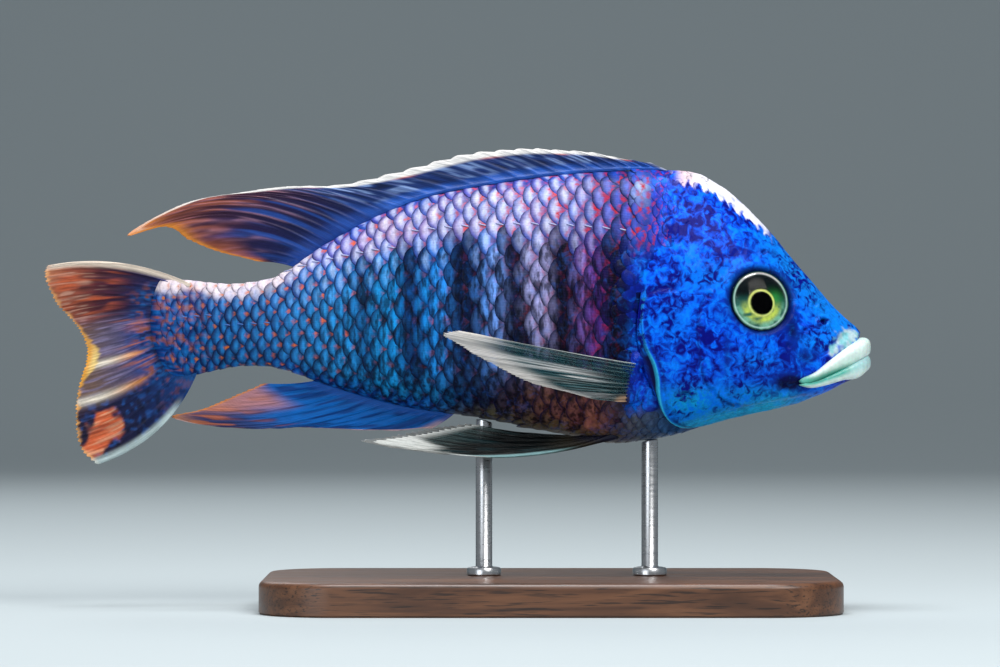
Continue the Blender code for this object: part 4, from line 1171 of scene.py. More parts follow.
def scale_paint(points, along, degrees, centre, along0, degrees0, across, contrast, rng):
    """A scale's colours: its place's colour and some chance, with a painted highlight on its pale heart and
    painted shade round it and on its lower side.
    """
    own = fish_paint(centre, along0, degrees0)
    local = fish_paint(points, along, degrees)
    shared = 0.6 * fall(along0, 112, 119)[..., None]
    paint = local * (1 - shared) + own * shared
    up = centre[..., 2]
    top, bars = lateral_line_at(along0), bar_share(along0, up)
    bright = 1 + 0.28 * rng.uniform(-1, 1, along0.shape)
    hue = rng.uniform(-1, 1, along0.shape)
    # heart is where the painted highlight lies; dim, and the blues away from the heart and on the lower side,
    # are painted shade
    heart = hump(PLATE_ROWS, 0.75, 0.15) * (1 - np.abs(across) ** 2)
    pale = rise(up, top - 8, top + 1) * rise(along0, 44, 56)
    pale = pale * (1 - 0.8 * rise(along0, 96, 110)) * (1 - bars)
    # Less contrast on the scales under the painted highlight along the top of the tail's root
    contrast = contrast * (1 - 0.7 * (rise(up - back_at(along0), -3.6, -1.6) * rise(along0, 98, 103)))
    dim = 0.26 + 0.2 * pale
    shade = bright * (dim + (1.2 - dim) * heart)
    colour = paint[..., :3] * (1 + (shade - 1) * contrast)[..., None]
    cyan = rise(along0, 70, 80) * (1 - pale) * (1 - bars) * contrast
    colour = blend_all(colour, (
        ("#2AA0E4", rise(heart, 0.4, 1.0) * cyan * 0.35),
        ("#2838A8", fall(heart, 0.1, 0.6) * pale * 0.35),
        ("#E4E8FA", rise(heart, 0.35, 0.95) * pale * 0.55),
        ("#3048B8", rise(-across, 0.0, 0.9) * pale * 0.42),
        ("#8A6CC8", np.clip(hue, 0, 1) * 0.25 * pale),
        ("#3A8CF0", np.clip(-hue, 0, 1) * 0.22 * pale),
        ("#0A1238", rise(PLATE_ROWS, 0.9, 1.0) * 0.25 * contrast),
    ))
    return np.concatenate([np.clip(colour, 0, 1), paint[..., 3:]], -1)


def blotch_paint(centre, along0, degrees0, rng):
    """The colour and strength of a scale's rust-red blotch."""
    up = centre[..., 2]
    colour = colour_line((34, "#98142C"), (48, "#A81C34"), (56, "#BC3440"), (80, "#CC5448"), (100, "#D4643C"),
                         (112, "#C8642C"), (124, "#C06A24"))(along0)
    top = lateral_line_at(along0)
    strong = np.interp(along0, (34, 40, 48, 60, 80, 100, 124), (0.6, 0.95, 1.0, 0.85, 0.9, 0.95, 0.95))
    below = np.interp(along0, (40, 50, 70, 90, 102, 124), (0.15, 0.5, 0.28, 0.45, 1.0, 1.0))
    strength = below + (strong - below) * rise(up, top - 3, top + 1)
    strength = strength * (1 - 0.75 * bar_share(along0, up) * (1 - hump(along0, 49, 3)))
    low = fall(up, LOW_LINE(along0) - 2, LOW_LINE(along0) + 4)
    strength = strength * (1 - 0.8 * low * fall(along0, 100, 108))
    shoulder = rise(degrees0, 55, 64) * fall(along0, 44.5, 47) * fall(degrees0, 130, 140)
    strength = strength * (1 - shoulder)
    strength = np.clip(strength * (1 + 0.45 * rng.uniform(-1, 0.4, along0.shape)), 0, 1)
    return with_opacity(colour, strength)


def make_line_tubes(large, side):
    """The lateral line: a pale tube on each scale that it runs over, on a lower row at the rear."""
    rear_up, rear_start, front_end, far_off = 2.2, 96, 108, 99.0
    around, steps = 10, 9
    count = around * steps
    share, turn = np.linspace(0, 1, steps)[:, None], circle(around)[None, :]
    swell = np.sqrt(np.clip(1 - (2 * share - 1) ** 4, 0.02, 1))
    parts = []
    last = -9.0
    for along, girth, *_ in large:
        angle = GIRTH.angle_at(np.array(along), np.array(girth))
        up = float(skin_point(along, angle, side)[2])
        off_front = abs(up - float(lateral_line_at(along)))
        off_rear = abs(up - (rear_up if along > rear_start else far_off))
        near = min(off_front if along < front_end else far_off, off_rear)
        if near > float(row_spacing_at(along)) * 0.52 or along - last < 2.1:
            continue
        last = along
        rear = off_rear < off_front
        tube, reach = (0.1, 1.2) if rear else (0.13, 1.5)
        place_along = along - 0.2 + reach * share + 0.0 * turn
        place_girth = girth + tube * np.cos(turn) * swell + 0.25 * share
        where = GIRTH.angle_at(place_along, place_girth)
        height = flesh_height(place_along, np.degrees(where)) + 0.3 + 0.14 * share
        height = (height + tube * 0.8 * np.sin(turn) * swell)[..., None]
        points = skin_point(place_along, where, side) + skin_normal(place_along, where, side) * height
        white = with_opacity(even("#4470B8" if rear else "#A4AAD4", np.empty(count)), 0.0)
        none = np.zeros((count, 4))
        cell = bake_place(place_along, place_girth, side).reshape(-1, 2)
        own = np.full((count, 2), 0.5)
        parts.append([points.reshape(-1, 3), tube_faces(steps, around), white, none, none, own, cell])
    return parts


def make_coat(settings):
    """The scales, as one piece for each side and size, and the lateral line."""
    material = bony_scale(settings)
    large, small = scale_places(settings)
    for side, word in SIDES:
        rng = np.random.default_rng(20 + side)
        half = len(large) // 2
        groups = (
            (f"scales_front_{word}", [make_scales(large[:half], side, rng, settings)]),
            (f"scales_rear_{word}", [make_scales(large[half:], side, rng, settings)]),
            (f"scales_small_{word}", [make_scales(small, side, rng, settings)]),
            (f"lateral_line_{word}", make_line_tubes(large, side)),
        )
        for name, parts in groups:
            points, faces, paint, blotch, spread, own, cell = join_parts(parts)
            paints = {"paint": paint, "blotch": blotch, "spread": spread}
            piece = make_piece(name, place(points), faces, material, paints,
                               {"ScalePlace": own, "OFBake": cell})
            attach(piece, "root")


def make_lip(name, edge, upper, material):
    """A lip round the mouth, from its outer edge to the mouth line, creased across."""
    edge_at, line_at, thick_at = map(smooth_line, (edge, MOUTH_LINE, LIP_HALF_THICKNESS))
    stations, around = 150, 44
    share = np.linspace(0, 1, stations)[:, None]
    turn = np.pi * (share - 0.5)
    along = LIP_FRONT + LIP_REACH * (1 - np.cos(turn))
    middle_out = LIP_HALF_SPAN * np.sin(turn)
    ahead = unit(np.concatenate([LIP_HALF_SPAN * np.cos(turn), LIP_REACH * np.sin(turn), 0 * turn], -1))
    edge_up, line_up = edge_at(along), line_at(along)
    line_up = line_up + np.where(edge_up > line_up, -0.12, 0.12)
    half_height, half_thick = np.abs(edge_up - line_up) / 2, thick_at(along)
    round_it = circle(around)[None, :]
    # The corners of the mouth are pinched shut
    pinch = np.clip(1 - np.abs(2 * share - 1) ** 30, 0.04, 1) ** 0.6
    run, crease_width = (share - 0.5) * 34.0, 1.3
    cosine, sine = np.cos(round_it), np.sin(round_it)
    crease = 0.014 * np.sin(run * 2 * np.pi / crease_width + 1.5 * np.sin(run)) * rise(cosine, -0.2, 0.8)
    swell = 1 + 0.05 * np.sin(run * 0.9) + crease
    # The side that meets the other lip is flatter, so that the mouth is a shallow groove
    full = np.where((sine < 0) == upper, 0.5, 0.8)
    thick = half_thick * swell * pinch * np.sign(cosine) * np.abs(cosine) ** full
    tall = half_height * pinch * np.sign(sine) * np.abs(sine) ** 0.8
    points = np.stack([
        SNOUT_X - along + ahead[:, :1] * thick, middle_out + ahead[:, 1:2] * thick,
        (edge_up + line_up) / 2 + tall,
    ], -1).reshape(-1, 3)
    height, back = np.broadcast_arrays(sine, along)
    colours = even("#D9ECE6", height)
    # The lips are pale mint-white; the grey, mint and teal towards the mouth line, deepest at the rear, and
    # at the mouth's corners are painted shade where the lips meet
    if upper:
        colours = blend_all(colours, (
            ("#A8DCC8", rise(-height, -0.3, 0.7) * rise(back, 2.0, 5.0) * 0.7),
            ("#0E8A72", rise(-height + 0.12 * (back - 6), 0.0, 0.9) * rise(back, 2.6, 7.0) * 0.92),
            ("#5CC0A8", rise(back, 10.0, 12.5) * 0.75),
        ))
    else:
        colours = blend_all(colours, (
            ("#A4D6DC", rise(height, -0.6, 0.5) * fall(back, 3.5, 6.0) * 0.8),
            ("#12A594", rise(height, -0.45, 0.35) * rise(back, 3.0, 6.0) * 0.95),
            ("#03685A", rise(height, 0.1, 0.9) * rise(back, 5.0, 9.5) * 0.9),
            ("#5CC0A8", rise(back, 11.2, 12.6) * 0.6),
        ))
    colours = blend(colours.reshape(-1, 3), "#7FBFB8", np.clip(grain(points, 1.4, 11), 0, 1) * 0.35)
    piece = make_piece(name, place(points), tube_faces(stations, around), material,
                       {"paint": with_opacity(colours)})
    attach(piece, "root")
    return piece


def ball_rings(tilt, radius, height):
    """Rings of a ball's points, at tilts from its pole, with a radius and the rings' heights."""
    turn = circle(EYE_SEGMENTS)[None, :]
    return np.stack([radius * np.sin(tilt) * np.cos(turn), radius * np.sin(tilt) * np.sin(turn),
                     height + 0 * turn], -1).reshape(-1, 3)


def dome(radius, bulge, depth):
    """A ball squashed to half a depth on each side, its pole along +Z, ring by ring from its top."""
    tilt = np.linspace(0, np.pi, EYE_RINGS)[1:-1, None]
    ring = ball_rings(tilt, radius, np.cos(tilt) * np.where(tilt < np.pi / 2, bulge, depth))
    points = np.concatenate([[[0, 0, bulge]], ring, [[0, 0, -depth]]])
    this, last = np.arange(EYE_SEGMENTS), len(points) - 1
    after = (this + 1) % EYE_SEGMENTS
    top = np.stack([0 * this, 1 + after, 1 + this], -1)
    foot = np.stack([0 * this + last, last - EYE_SEGMENTS + this, last - EYE_SEGMENTS + after], -1)
    return points, [grid_faces(EYE_RINGS - 2, EYE_SEGMENTS, 1, wrap=True), top, foot]


def eye_axes(side):
    """The eye's middle and its axes: rearwards, upwards and outwards."""
    centre, axis = eye_place(side)
    up = unit(np.array((0.0, 0.0, 1.0)) - axis * axis[2])
    return centre, np.stack([np.cross(up, axis) * side, up, axis])


def make_eyeball(side, word, settings, platelets):
    """An eyeball whose iris is a shallow dish, with a raised rim round the lens that stands out of it."""
    centre, axes = eye_axes(side)
    rim, pupil = EYE_RADIUS - EYEBALL_GAP, settings.pupil / MM
    points, faces = dome(rim, EYE_BULGE, EYE_DEPTH)
    back, up, out = points.T.copy()
    front = out > 0
    # The pupil sits a little below the eye's middle
    far, off_pupil = np.hypot(back, up), np.hypot(back, up + PUPIL_DROP)
    dish = 0.55 * (1 - (far / rim) ** 2) + 0.16 * hump(off_pupil, pupil + 0.28, 0.28)
    lens = 0.62 + np.sqrt(np.maximum(0, 1 - (off_pupil / (pupil + 0.04)) ** 2)) * 0.5
    points[:, 2] = np.where(front, np.where(off_pupil < pupil, lens, dish), out)
    upper, low = rise(up, -1.2, 1.6), fall(up, -2.4, 0.4)
    cloud = grain(points, 0.7, 12)
    colours = blend_all(even("#0F5A50", far), (
        ("#010A0E", upper * fall(far, 4.7, 5.1)),
        ("#C8DC5A", low * hump(off_pupil, 2.9, 0.85) * rise(cloud, -0.7, 0.2) * 0.95),
        ("#2C8C3C", spot(back, up, (-2.6, 0.4), (1.3, 1.2)) * 0.8),
        ("#7CC4A8", rise(far, 3.6, 4.4) * low * rise(cloud, -0.4, 0.5) * 0.7),
        ("#DCE47C", hump(off_pupil, pupil + 0.22, 0.19) * 0.95),
        # The pale ring at the iris's edge, pink along its top, is a painted reflection of the cornea's rim
        ("#B4D8CC", hump(far, 4.98, 0.15) * 0.8),
        ("#D8B8C0", hump(far, 5.0, 0.15) * rise(up, 2.5, 4.0) * 0.7),
        ("#010102", fall(off_pupil, pupil - 0.05, pupil + 0.08)),
    ))
    colours = np.where((front & (far < rim - 0.02))[:, None], colours, np.array(linear("#0A0F1C")))
    colours = blend(colours, "#0A1420", hump(far, 5.3, 0.08) * 0.8)
    gloss = rise(off_pupil, pupil - 0.1, pupil + 0.2) * (1 - 0.85 * upper)
    iris = make_piece(f"eyeball_{word}", place(centre + points @ axes), faces, platelets,
                      {"paint": with_opacity(colours, gloss)})
    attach(iris, "root")
    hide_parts(f"eye_{word}")


def make_cornea(side, word, clear):
    """The cornea, a thin clear shell over the front half of the eye."""
    centre, axes = eye_axes(side)
    tilt = np.linspace(0, np.pi / 2, CORNEA_RINGS)[1:, None]
    shells = []
    for inset in (0.0, CORNEA_THICKNESS):
        bulge = EYE_BULGE - inset
        shells += [[[0, 0, bulge]], ball_rings(tilt, EYE_RADIUS - inset, bulge * np.cos(tilt))]
    points = np.concatenate(shells)
    this, count = np.arange(EYE_SEGMENTS), len(points) // 2
    after = (this + 1) % EYE_SEGMENTS
    cap = np.stack([0 * this, 1 + this, 1 + after], -1)
    wall = grid_faces(CORNEA_RINGS - 1, EYE_SEGMENTS, 1, wrap=True)[:, ::-1]
    last = 1 + (CORNEA_RINGS - 2) * EYE_SEGMENTS
    band = np.stack([count + last + after, count + last + this, last + this, last + after], -1)
    faces = [cap, cap[:, ::-1] + count, wall, wall[:, ::-1] + count, band]
    cornea = make_piece(f"cornea_{word}", place(centre + points @ axes), faces, clear)
    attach(cornea, "root")


def bent(root, control, tip, share):
    """Curves from roots to tips, drawn towards a third point between them."""
    share = share[..., None]
    return root * (1 - share) ** 2 + control * 2 * share * (1 - share) + tip * share**2


def bowed(root, tip, bow, share):
    """Rays in the midplane, bowed upwards by a share of their length."""
    run = tip - root
    length = np.linalg.norm(run, axis=-1, keepdims=True)
    upwards = np.stack([run[..., 2], 0 * run[..., 0], -run[..., 0]], -1) / length
    return bent(root, (root + tip) / 2 + upwards * bow[..., None] * length, tip, share)


def median_sheet(rays, edge_at, way, lean):
    """The middle of the dorsal or anal fin, as a function of the ray and the share of its length."""
    values = smooth_columns(rays)

    def sheet(ray, share):
        root_along, tip_along, tip_up, bow = values(ray)
        root = body_place(root_along, edge_at(root_along) + way * 0.3)
        tip = body_place(tip_along, tip_up)
        points = bowed(root, tip, bow * way, share)
        length = np.linalg.norm(tip - root, axis=-1)
        points[..., 1] = lean * share * np.abs(share) * length / TOTAL_LENGTH
        return points

    return sheet


def caudal_sheet(ray, share):
    """The middle of the tail fin, which sways to the side."""
    last = CAUDAL_RAYS[-1][0]
    tip_along, tip_up, bow = smooth_columns(CAUDAL_RAYS)(ray)
    top = back_at(TAIL_END[0][1]) - CAUDAL_MARGIN
    foot = belly_at(TAIL_END[-1][1]) + CAUDAL_MARGIN
    root_up = top + (foot - top) * ray / last
    root_along = np.full(ray.shape, float(tail_end_at(90)))
    for _ in range(4):
        root_along = tail_end_at(np.degrees(angle_at_height(root_along, root_up)))
    root, tip = body_place(root_along + 0.3, root_up), body_place(tip_along, tip_up)
    points = bowed(root, tip, bow, share)
    turn = np.sin(np.pi * (ray / last - 0.5))
    points[..., 1] = CAUDAL_SWAY * share * np.abs(share) * (CAUDAL_SHIFT - turn)
    return points


def paired_root(along, angle, side, lift):
    """A paired fin's root on the skin, and the way out of the body there."""
    outwards_way = skin_normal(along, angle, side)
    return skin_point(along, angle, side) + outwards_way * lift, outwards_way


def pectoral_sheet(side):
    """The middle of a pectoral fin, as a function of the ray and the share of its length."""
    tips, roots = smooth_columns(PECTORAL_RAYS), smooth_columns(PECTORAL_ROOT)

    def sheet(ray, share):
        along, up = roots(ray)
        root, outwards_way = paired_root(along, angle_at_height(along, up), side, 0.3)
        tip_along, tip_up, tip_out = tips(ray)
        tip = body_place(tip_along, tip_up, side * tip_out)
        return bent(root, root + outwards_way * PECTORAL_LIFT, tip, share)

    return sheet


def pelvic_sheet(side):
    """The middle of a pelvic fin, as a function of the ray and the share of its length."""
    tips, roots, bow_at = smooth_columns(PELVIC_RAYS), smooth_columns(PELVIC_ROOT), smooth_line(PELVIC_BOW)
    stretch = LEFT_PELVIC_STRETCH if side == LEFT else 1.0

    def sheet(ray, share):
        along, degrees = roots(ray)
        root, outwards_way = paired_root(along, np.radians(degrees), side, 0.25)
        tip_along, tip_up, tip_out = tips(ray)
        tip = body_place(tip_along, tip_up, side * tip_out)
        tip = root + (tip - root) * stretch
        return bent(root, (root + tip) / 2 + outwards_way * bow_at(ray)[..., None], tip, share)

    return sheet


def ray_crests(off, share, soft, spread):
    """How strongly a ray's crest shows at a distance off it, in ray spaces; soft rays part in two."""
    first, second = rise(share, 0.38, 0.62) * spread, rise(share, 0.62, 0.9) * spread
    width = 0.13 - 0.035 * first - 0.03 * second
    crest = np.zeros(np.broadcast(off, share).shape)
    for one in (-1, 1):
        for two in (-1, 1):
            middle = soft * (one * 0.235 * first + two * 0.115 * second)
            crest = np.maximum(crest, hump(off, middle, width))
    return crest


def make_fin(name, sheet, rays, paint_of, material, replaced, root_half, shape, seed):
    """A fin of rays joined by a membrane, as one closed sheet.

    paint_of gives each point's colour from its ray, the share of the ray's length, that length, how
    far it is on a crest, and its place. shape holds: columns a ray space, rows, the first soft ray,
    how deep the membrane is notched in millimetres between spines and between soft rays, and how far
    the root is sunk in the body.
    """
    per_ray, rows, first_soft, spine_notch, soft_notch, sunk = shape
    rng = np.random.default_rng(seed)
    columns = (rays - 1) * per_ray + 1
    ray = np.linspace(0, rays - 1, columns)[:, None]
    step = np.linspace(0, 1, rows)[None, :]
    step = 1 - (1 - step) ** 1.25
    nearest = np.round(ray)
    off = ray - nearest
    soft = rise(ray, first_soft - 1.0, first_soft)
    length = np.linalg.norm(sheet(ray, np.ones_like(ray)) - sheet(ray, np.zeros_like(ray)), axis=-1)
    crest_tip = ray_crests(off, np.ones_like(ray), soft, 1.0)
    notch = spine_notch * (1 - soft) * np.abs(off * 2) ** 1.3 + soft_notch * soft * (1 - crest_tip)
    chance = rng.uniform(-1, 1, (rays * 8, 1))
    ragged = chance[np.clip((ray * 4).astype(int), 0, rays * 8 - 1)[:, 0]] * 0.16 * soft
    tip = 1 - (notch + np.abs(ragged)) / np.maximum(length, 1.0)
    share = -sunk / np.maximum(length, 1.0) * (1 - step) + step * tip
    ray, share = np.broadcast_arrays(ray, share)
    points = sheet(ray, share)
    crest = ray_crests(off, share, soft, np.minimum(1, length / 6))
    near_root = np.clip(1 - share / 0.16, 0, 1) ** 2
    thin = 0.11 + 0.03 * grain(np.stack([ray * 3, share * length], -1), 1.3, seed)
    half = thin + crest * (0.26 - 0.12 * share) * (1 - 0.35 * rise(share, 0.75, 1))
    half = half + (root_half - half) * near_root
    half = half * (1 - 0.55 * rise(share / tip, 0.93, 1.0))
    wave = 0.16 * np.sin(ray * 1.9 + 4.0 * share + seed) * rise(share, 0.15, 0.9)
    normal = unit(np.cross(np.gradient(points, axis=0), np.gradient(points, axis=1)))
    points = points + normal * wave[..., None]
    front, back = points + normal * half[..., None], points - normal * half[..., None]
    paint = paint_of(ray, share, length, crest, front)
    where = np.stack([ray, share * length], -1).reshape(-1, 2)
    flat = np.concatenate([front.reshape(-1, 3), back.reshape(-1, 3)])
    paint = np.concatenate([paint.reshape(-1, 4)] * 2)
    piece = make_piece(name, place(flat), shell_faces(columns, rows), material, {"paint": paint},
                       {"FinPlace": np.concatenate([where, where])})
    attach(piece, "root")
    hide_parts(replaced)


def dorsal_paint(ray, share, length, crest, points):
    """Streaked blue under a white edge, with red lappets, and rust to orange over the soft rays."""
    root, edge = share * length, (1 - share) * length
    soft = rise(ray, 15.5, 18.5)
    streak = flat_grain(ray * 2.3, root * 0.35, 21)
    fine = flat_grain(ray * 6.0, root * 0.25, 22)
    drawn = flat_grain(ray * 3.4, root * 0.08, 23)
    colours = blend_all(even("#183474", ray), (
        ("#90B0E8", rise(streak, -0.1, 0.5) * rise(fine, -0.6, 0.4) * 0.8),
        ("#050A24", rise(-streak, 0.2, 0.7) * 0.6),
        ("#3A5A9C", crest * 0.35),
    ))
    back = colour_line((0, "#12307C"), (4, "#0E1A50"), (11, "#201644"), (20, "#40203C"), (29, "#8A4A38"),
                       (36, "#F29430"))(root)
    back = blend_all(back, (
        ("#2450A8", (1 - 0.6 * crest) * rise(drawn, -0.25, 0.6) * fall(root, 12, 22) * 0.85),
        ("#A87C9C", crest * rise(root, 4, 10) * rise(fine, -0.3, 0.6) * 0.6),
        ("#C87050", rise(fine, 0.1, 0.7) * rise(root, 12, 22) * 0.55),
        ("#E07838", rise(ray, 23.0, 25.5) * rise(share, 0.5, 0.95) * 0.6),
    ))
    sheath = fall(root, 1.6, 3.2) * (1 - 0.7 * soft)
    wide = 2.4 * rise(ray, 0.5, 3.0) - 0.2 * rise(ray, 13, 18)
    # The white edge has no width at the first spine, where it would divide by 0
    faded = np.maximum(wide * 1.6, 1e-6)
    lappet = (1 - soft) * hump(edge, wide + 0.7, 0.6) * hump(ray % 3.7, 1.9, 0.4)
    return with_opacity(blend_all(colours, (
        (back, soft),
        ("#1A5CC4", sheath * (0.5 + 0.4 * rise(streak, -0.4, 0.4))),
        ("#D8462E", lappet * 0.9),
        # The white edge is the fin's own pale margin, and in its pure white also painted highlight of the
        # light from above
        ("#F8F6F4", fall(edge, wide, faded) * fall(ray, 21.9, 22.5)),
        ("#FF9A22", rise(share, 0.86, 0.98) * hump(ray, 22.3, 1.6) * 0.9),
        ("#F29A3E", fall(edge, 0.5, 1.6) * rise(ray, 22.2, 22.8) * 0.85),
        ("#E8ECF4", fall(ray, 0.0, 0.6) * 0.6),
    )))


def anal_paint(ray, share, length, crest, points):
    """Blue, dark and rust towards the rear, with a pale lower edge and an orange rear one."""
    root, edge = share * length, (1 - share) * length
    streak = flat_grain(ray * 2.6, root * 0.25, 31)
    far = rise(root, 12, 26) * (0.3 + 0.7 * rise(ray, 1.5, 4.5))
    return with_opacity(blend_all(even("#0870CC", ray), (
        ("#082C78", rise(streak, -0.1, 0.6) * 0.7),
        ("#3C3058", far * 0.85),
        ("#D87850", far * rise(streak, 0.1, 0.6) * 0.7),
        ("#E89878", rise(ray, 7.2, 9.0) * rise(root, 7, 12) * 0.7),
        ("#F2A060", rise(root, 27, 36) * 0.8),
        ("#F0C8C8", fall(edge, 0.9, 1.5) * fall(ray, 6.4, 7.0) * 0.85),
        ("#F0C8C8", fall(ray, 0.1, 0.7) * 0.6),
        ("#EE9448", fall(edge, 0.4, 1.3) * rise(ray, 6.6, 7.2) * 0.85),
        ("#1E62C4", fall(root, 0.8, 2.6) * 0.8),
    )))


def caudal_paint(ray, share, length, crest, points):
    """Rust over the upper rays, slate in the middle and dark blue below, with a gold rear edge."""
    root, edge = share * length, (1 - share) * length
    along, up = SNOUT_X - points[..., 0], points[..., 2]
    streak, fine = flat_grain(ray * 4.5, root * 0.2, 41), flat_grain(ray * 9.0, root * 0.3, 47)
    upper = colour_line((0, "#2A3C9C"), (6, "#14104A"), (11, "#2A0E38"), (16, "#5A2430"), (22, "#B05C40"),
                        (27, "#E49468"))(root)
    upper = blend_all(upper, (
        ("#CC6038", rise(streak, 0.0, 0.6) * rise(root, 9, 16) * 0.8),
        ("#F0C0A8", rise(fine, 0.3, 0.8) * rise(root, 12, 20) * 0.5),
        ("#1C0C30", rise(-fine, 0.2, 0.8) * 0.4),
    ))
    middle = colour_line((0, "#1E78C4"), (7, "#3A4A9C"), (12, "#5A5478"), (18, "#7A6058"))(root)
    middle = blend_all(middle, (
        ("#A49AC8", rise(fine, 0.0, 0.7) * 0.5),
        ("#C8703C", rise(streak, 0.2, 0.7) * fall(root, 9, 14) * 0.7),
    ))
    lower = colour_line((0, "#1A6CB8"), (5, "#12306C"), (14, "#0C1844"), (22, "#241A38"))(root)
    lower = blend_all(lower, (
        ("#1C54A0", rise(grain(points, 0.75, 43), 0.1, 0.6) * 0.6),
        ("#050A24", rise(-grain(points, 0.9, 48), 0.1, 0.6) * 0.6),
    ))
    colours = blend(blend(upper, middle, rise(ray, 4.0, 6.2)), lower, rise(ray, 10.2, 12.0))
    # The two warm white lines along folds of the fin are painted highlight where the folds catch the light
    warm = blend(even("#E89038", ray), "#F8EEDC", rise(share, 0.4, 0.8))
    for middle_ray, strong in ((8.6, 1.0), (11.0, 0.95)):
        crease = hump(ray, middle_ray + 0.25 * (1 - share), 0.27) * rise(root, 5.5, 9.0) * strong
        colours = blend(colours, warm, crease * 0.95)
    patch = spot(along, up, (138.4, -17.2), (3.6, 3.6)) + spot(along, up, (141.2, -21.8), (2.4, 2.6))
    patch = rise(patch + 0.3 * grain(points, 1.3, 44), 0.4, 0.7) * fall(ray, 14.2, 14.8)
    salmon = blend(even("#E66E40", ray), "#F8AC84", rise(fine, -0.3, 0.6))
    colours = blend_all(colours, (
        (salmon, patch * 0.92),
        ("#7A3028", patch * rise(-streak, 0.2, 0.7) * 0.5),
        ("#E07A2C", spot(along, up, (131.5, 0.8), (2.6, 0.7)) * 0.8),
    ))
    base = fall(root + 2.0 * streak, 5.0, 11.0) * rise(ray, 1.0, 3.0) * (1 - 0.7 * rise(ray, 11.5, 13.5))
    wide = 0.15 + 2.2 * hump(ray, 8.0, 1.3)
    rear = fall(edge + 0.5 * streak, wide, wide + 0.9)
    margin = blend(even("#F4B67C", ray), "#FFB43A", hump(ray, 8.5, 4.0))
    margin = blend(margin, "#FFE08C", hump(ray, 8.2, 1.4) * rise(edge, 0.5, 1.8))
    return with_opacity(blend_all(tail_flecks(colours, along, up, base), (
        ("#B83048", spot(along, up, (126.7, 3.6), (2.2, 0.9)) * 0.9),
        (margin, rear * 0.9),
        ("#FBEAD8", fall(ray, 0.35, 1.0) * (1 - rise(share, 0.93, 1.0) * 0.4)),
        ("#C8DCDC", rise(ray, 14.45, 14.85) * rise(root, 5, 9) * 0.85),
    )))


def pectoral_paint(ray, share, length, crest, points):
    """Clear and greenish, with a lit white patch at the tips and a pale knob at the root."""
    root = share * length
    streak = flat_grain(ray * 3.5, root * 0.12, 51)
    broad = flat_grain(ray * 1.1, root * 0.07, 52)
    white = flat_grain(ray * 2.4, root * 0.06, 53)
    lit = hump(ray, 6.5, 3.0) * hump(share, 0.66, 0.19) + 0.7 * rise(share, 0.7, 0.95)
    knob = rise(spot(SNOUT_X - points[..., 0], points[..., 2], (45.0, -12.1), (1.7, 1.0)), 0.1, 0.8)
    colours = blend_all(even("#1C565E", ray), (
        ("#0A2026", rise(streak, -0.1, 0.5) * (0.3 + 0.55 * rise(share, 0.1, 0.45))),
        ("#0C3238", rise(broad, 0.0, 0.5) * hump(share, 0.4, 0.3) * 0.8),
        ("#B8D0D0", crest * rise(streak, -0.6, 0.4) * (0.1 + 0.22 * rise(-broad, -0.2, 0.4))),
        ("#FFFFFF", rise(white, -0.1, 0.35) * lit * 0.95),
        ("#FFF8F2", rise(share, 0.8, 0.94) * 0.9),
        ("#8C8494", fall(share, 0.08, 0.3) * rise(ray, 3, 8) * crest * 0.5),
        ("#E6ECEA", fall(ray, 0.0, 0.5) * 0.7),
        ("#C8A080", knob * 0.8),
    ))
    opacity = 0.34 + 0.3 * crest + 0.45 * np.clip(lit, 0, 1) + 0.2 * streak
    opacity = opacity + 0.5 * fall(share, 0.0, 0.12)
    return with_opacity(colours, np.clip(opacity + knob, 0, 1))


def pelvic_paint(ray, share, length, crest, points):
    """Nearly black, with a pale front edge and white tips."""
    streak = flat_grain(ray * 3.0, share * length * 0.15, 61)
    white = rise(share + 0.2 * fall(ray, 1.5, 2.5), 0.88, 1.0)
    colours = blend_all(even("#03090C", ray), (
        ("#0E3036", rise(streak, 0.1, 0.6) * 0.7),
        ("#A8D8DC", fall(ray, 0.15, 0.5) * rise(share, 0.16, 0.4) * 0.9),
        ("#7C9C9C", crest * rise(share, 0.6, 0.95) * 0.4),
        ("#3C3426", fall(share, 0.08, 0.36) * 0.75),
        ("#161A34", fall(share, 0.03, 0.16) * 0.9),
        ("#EEF0EC", white * 0.9),
    ))
    opacity = 0.8 + 0.15 * crest - 0.25 * rise(share, 0.6, 1.0) * (1 - white)
    return with_opacity(colours, np.clip(opacity, 0, 1))


def make_base(settings):
    """The walnut plate: round corners, and an upper edge rounded by a router."""
    length, width, height = (settings.base_length / MM, settings.base_width / MM, settings.base_height / MM)
    edge = settings.base_edge / MM
    turns = np.radians(np.arange(0, 360, 5.0)) + np.radians(2.5)
    profile = [(0.0, 0.35), (0.35, 0.0)]
    for turn in np.linspace(0, math.pi / 2, 9):
        profile.append((height - edge + edge * math.sin(turn), edge * (1 - math.cos(turn))))
    rings = []
    for up, inset in profile:
        radius = BASE_CORNER - inset
        x = np.sign(np.cos(turns)) * (length / 2 - BASE_CORNER) + radius * np.cos(turns)
        y = np.sign(np.sin(turns)) * (width / 2 - BASE_CORNER) + radius * np.sin(turns)
        rings.append(np.stack([BASE_X + x, y, np.full(len(turns), up - AXIS_HEIGHT)], -1))
    return np.concatenate(rings), tube_faces(len(rings), len(turns))


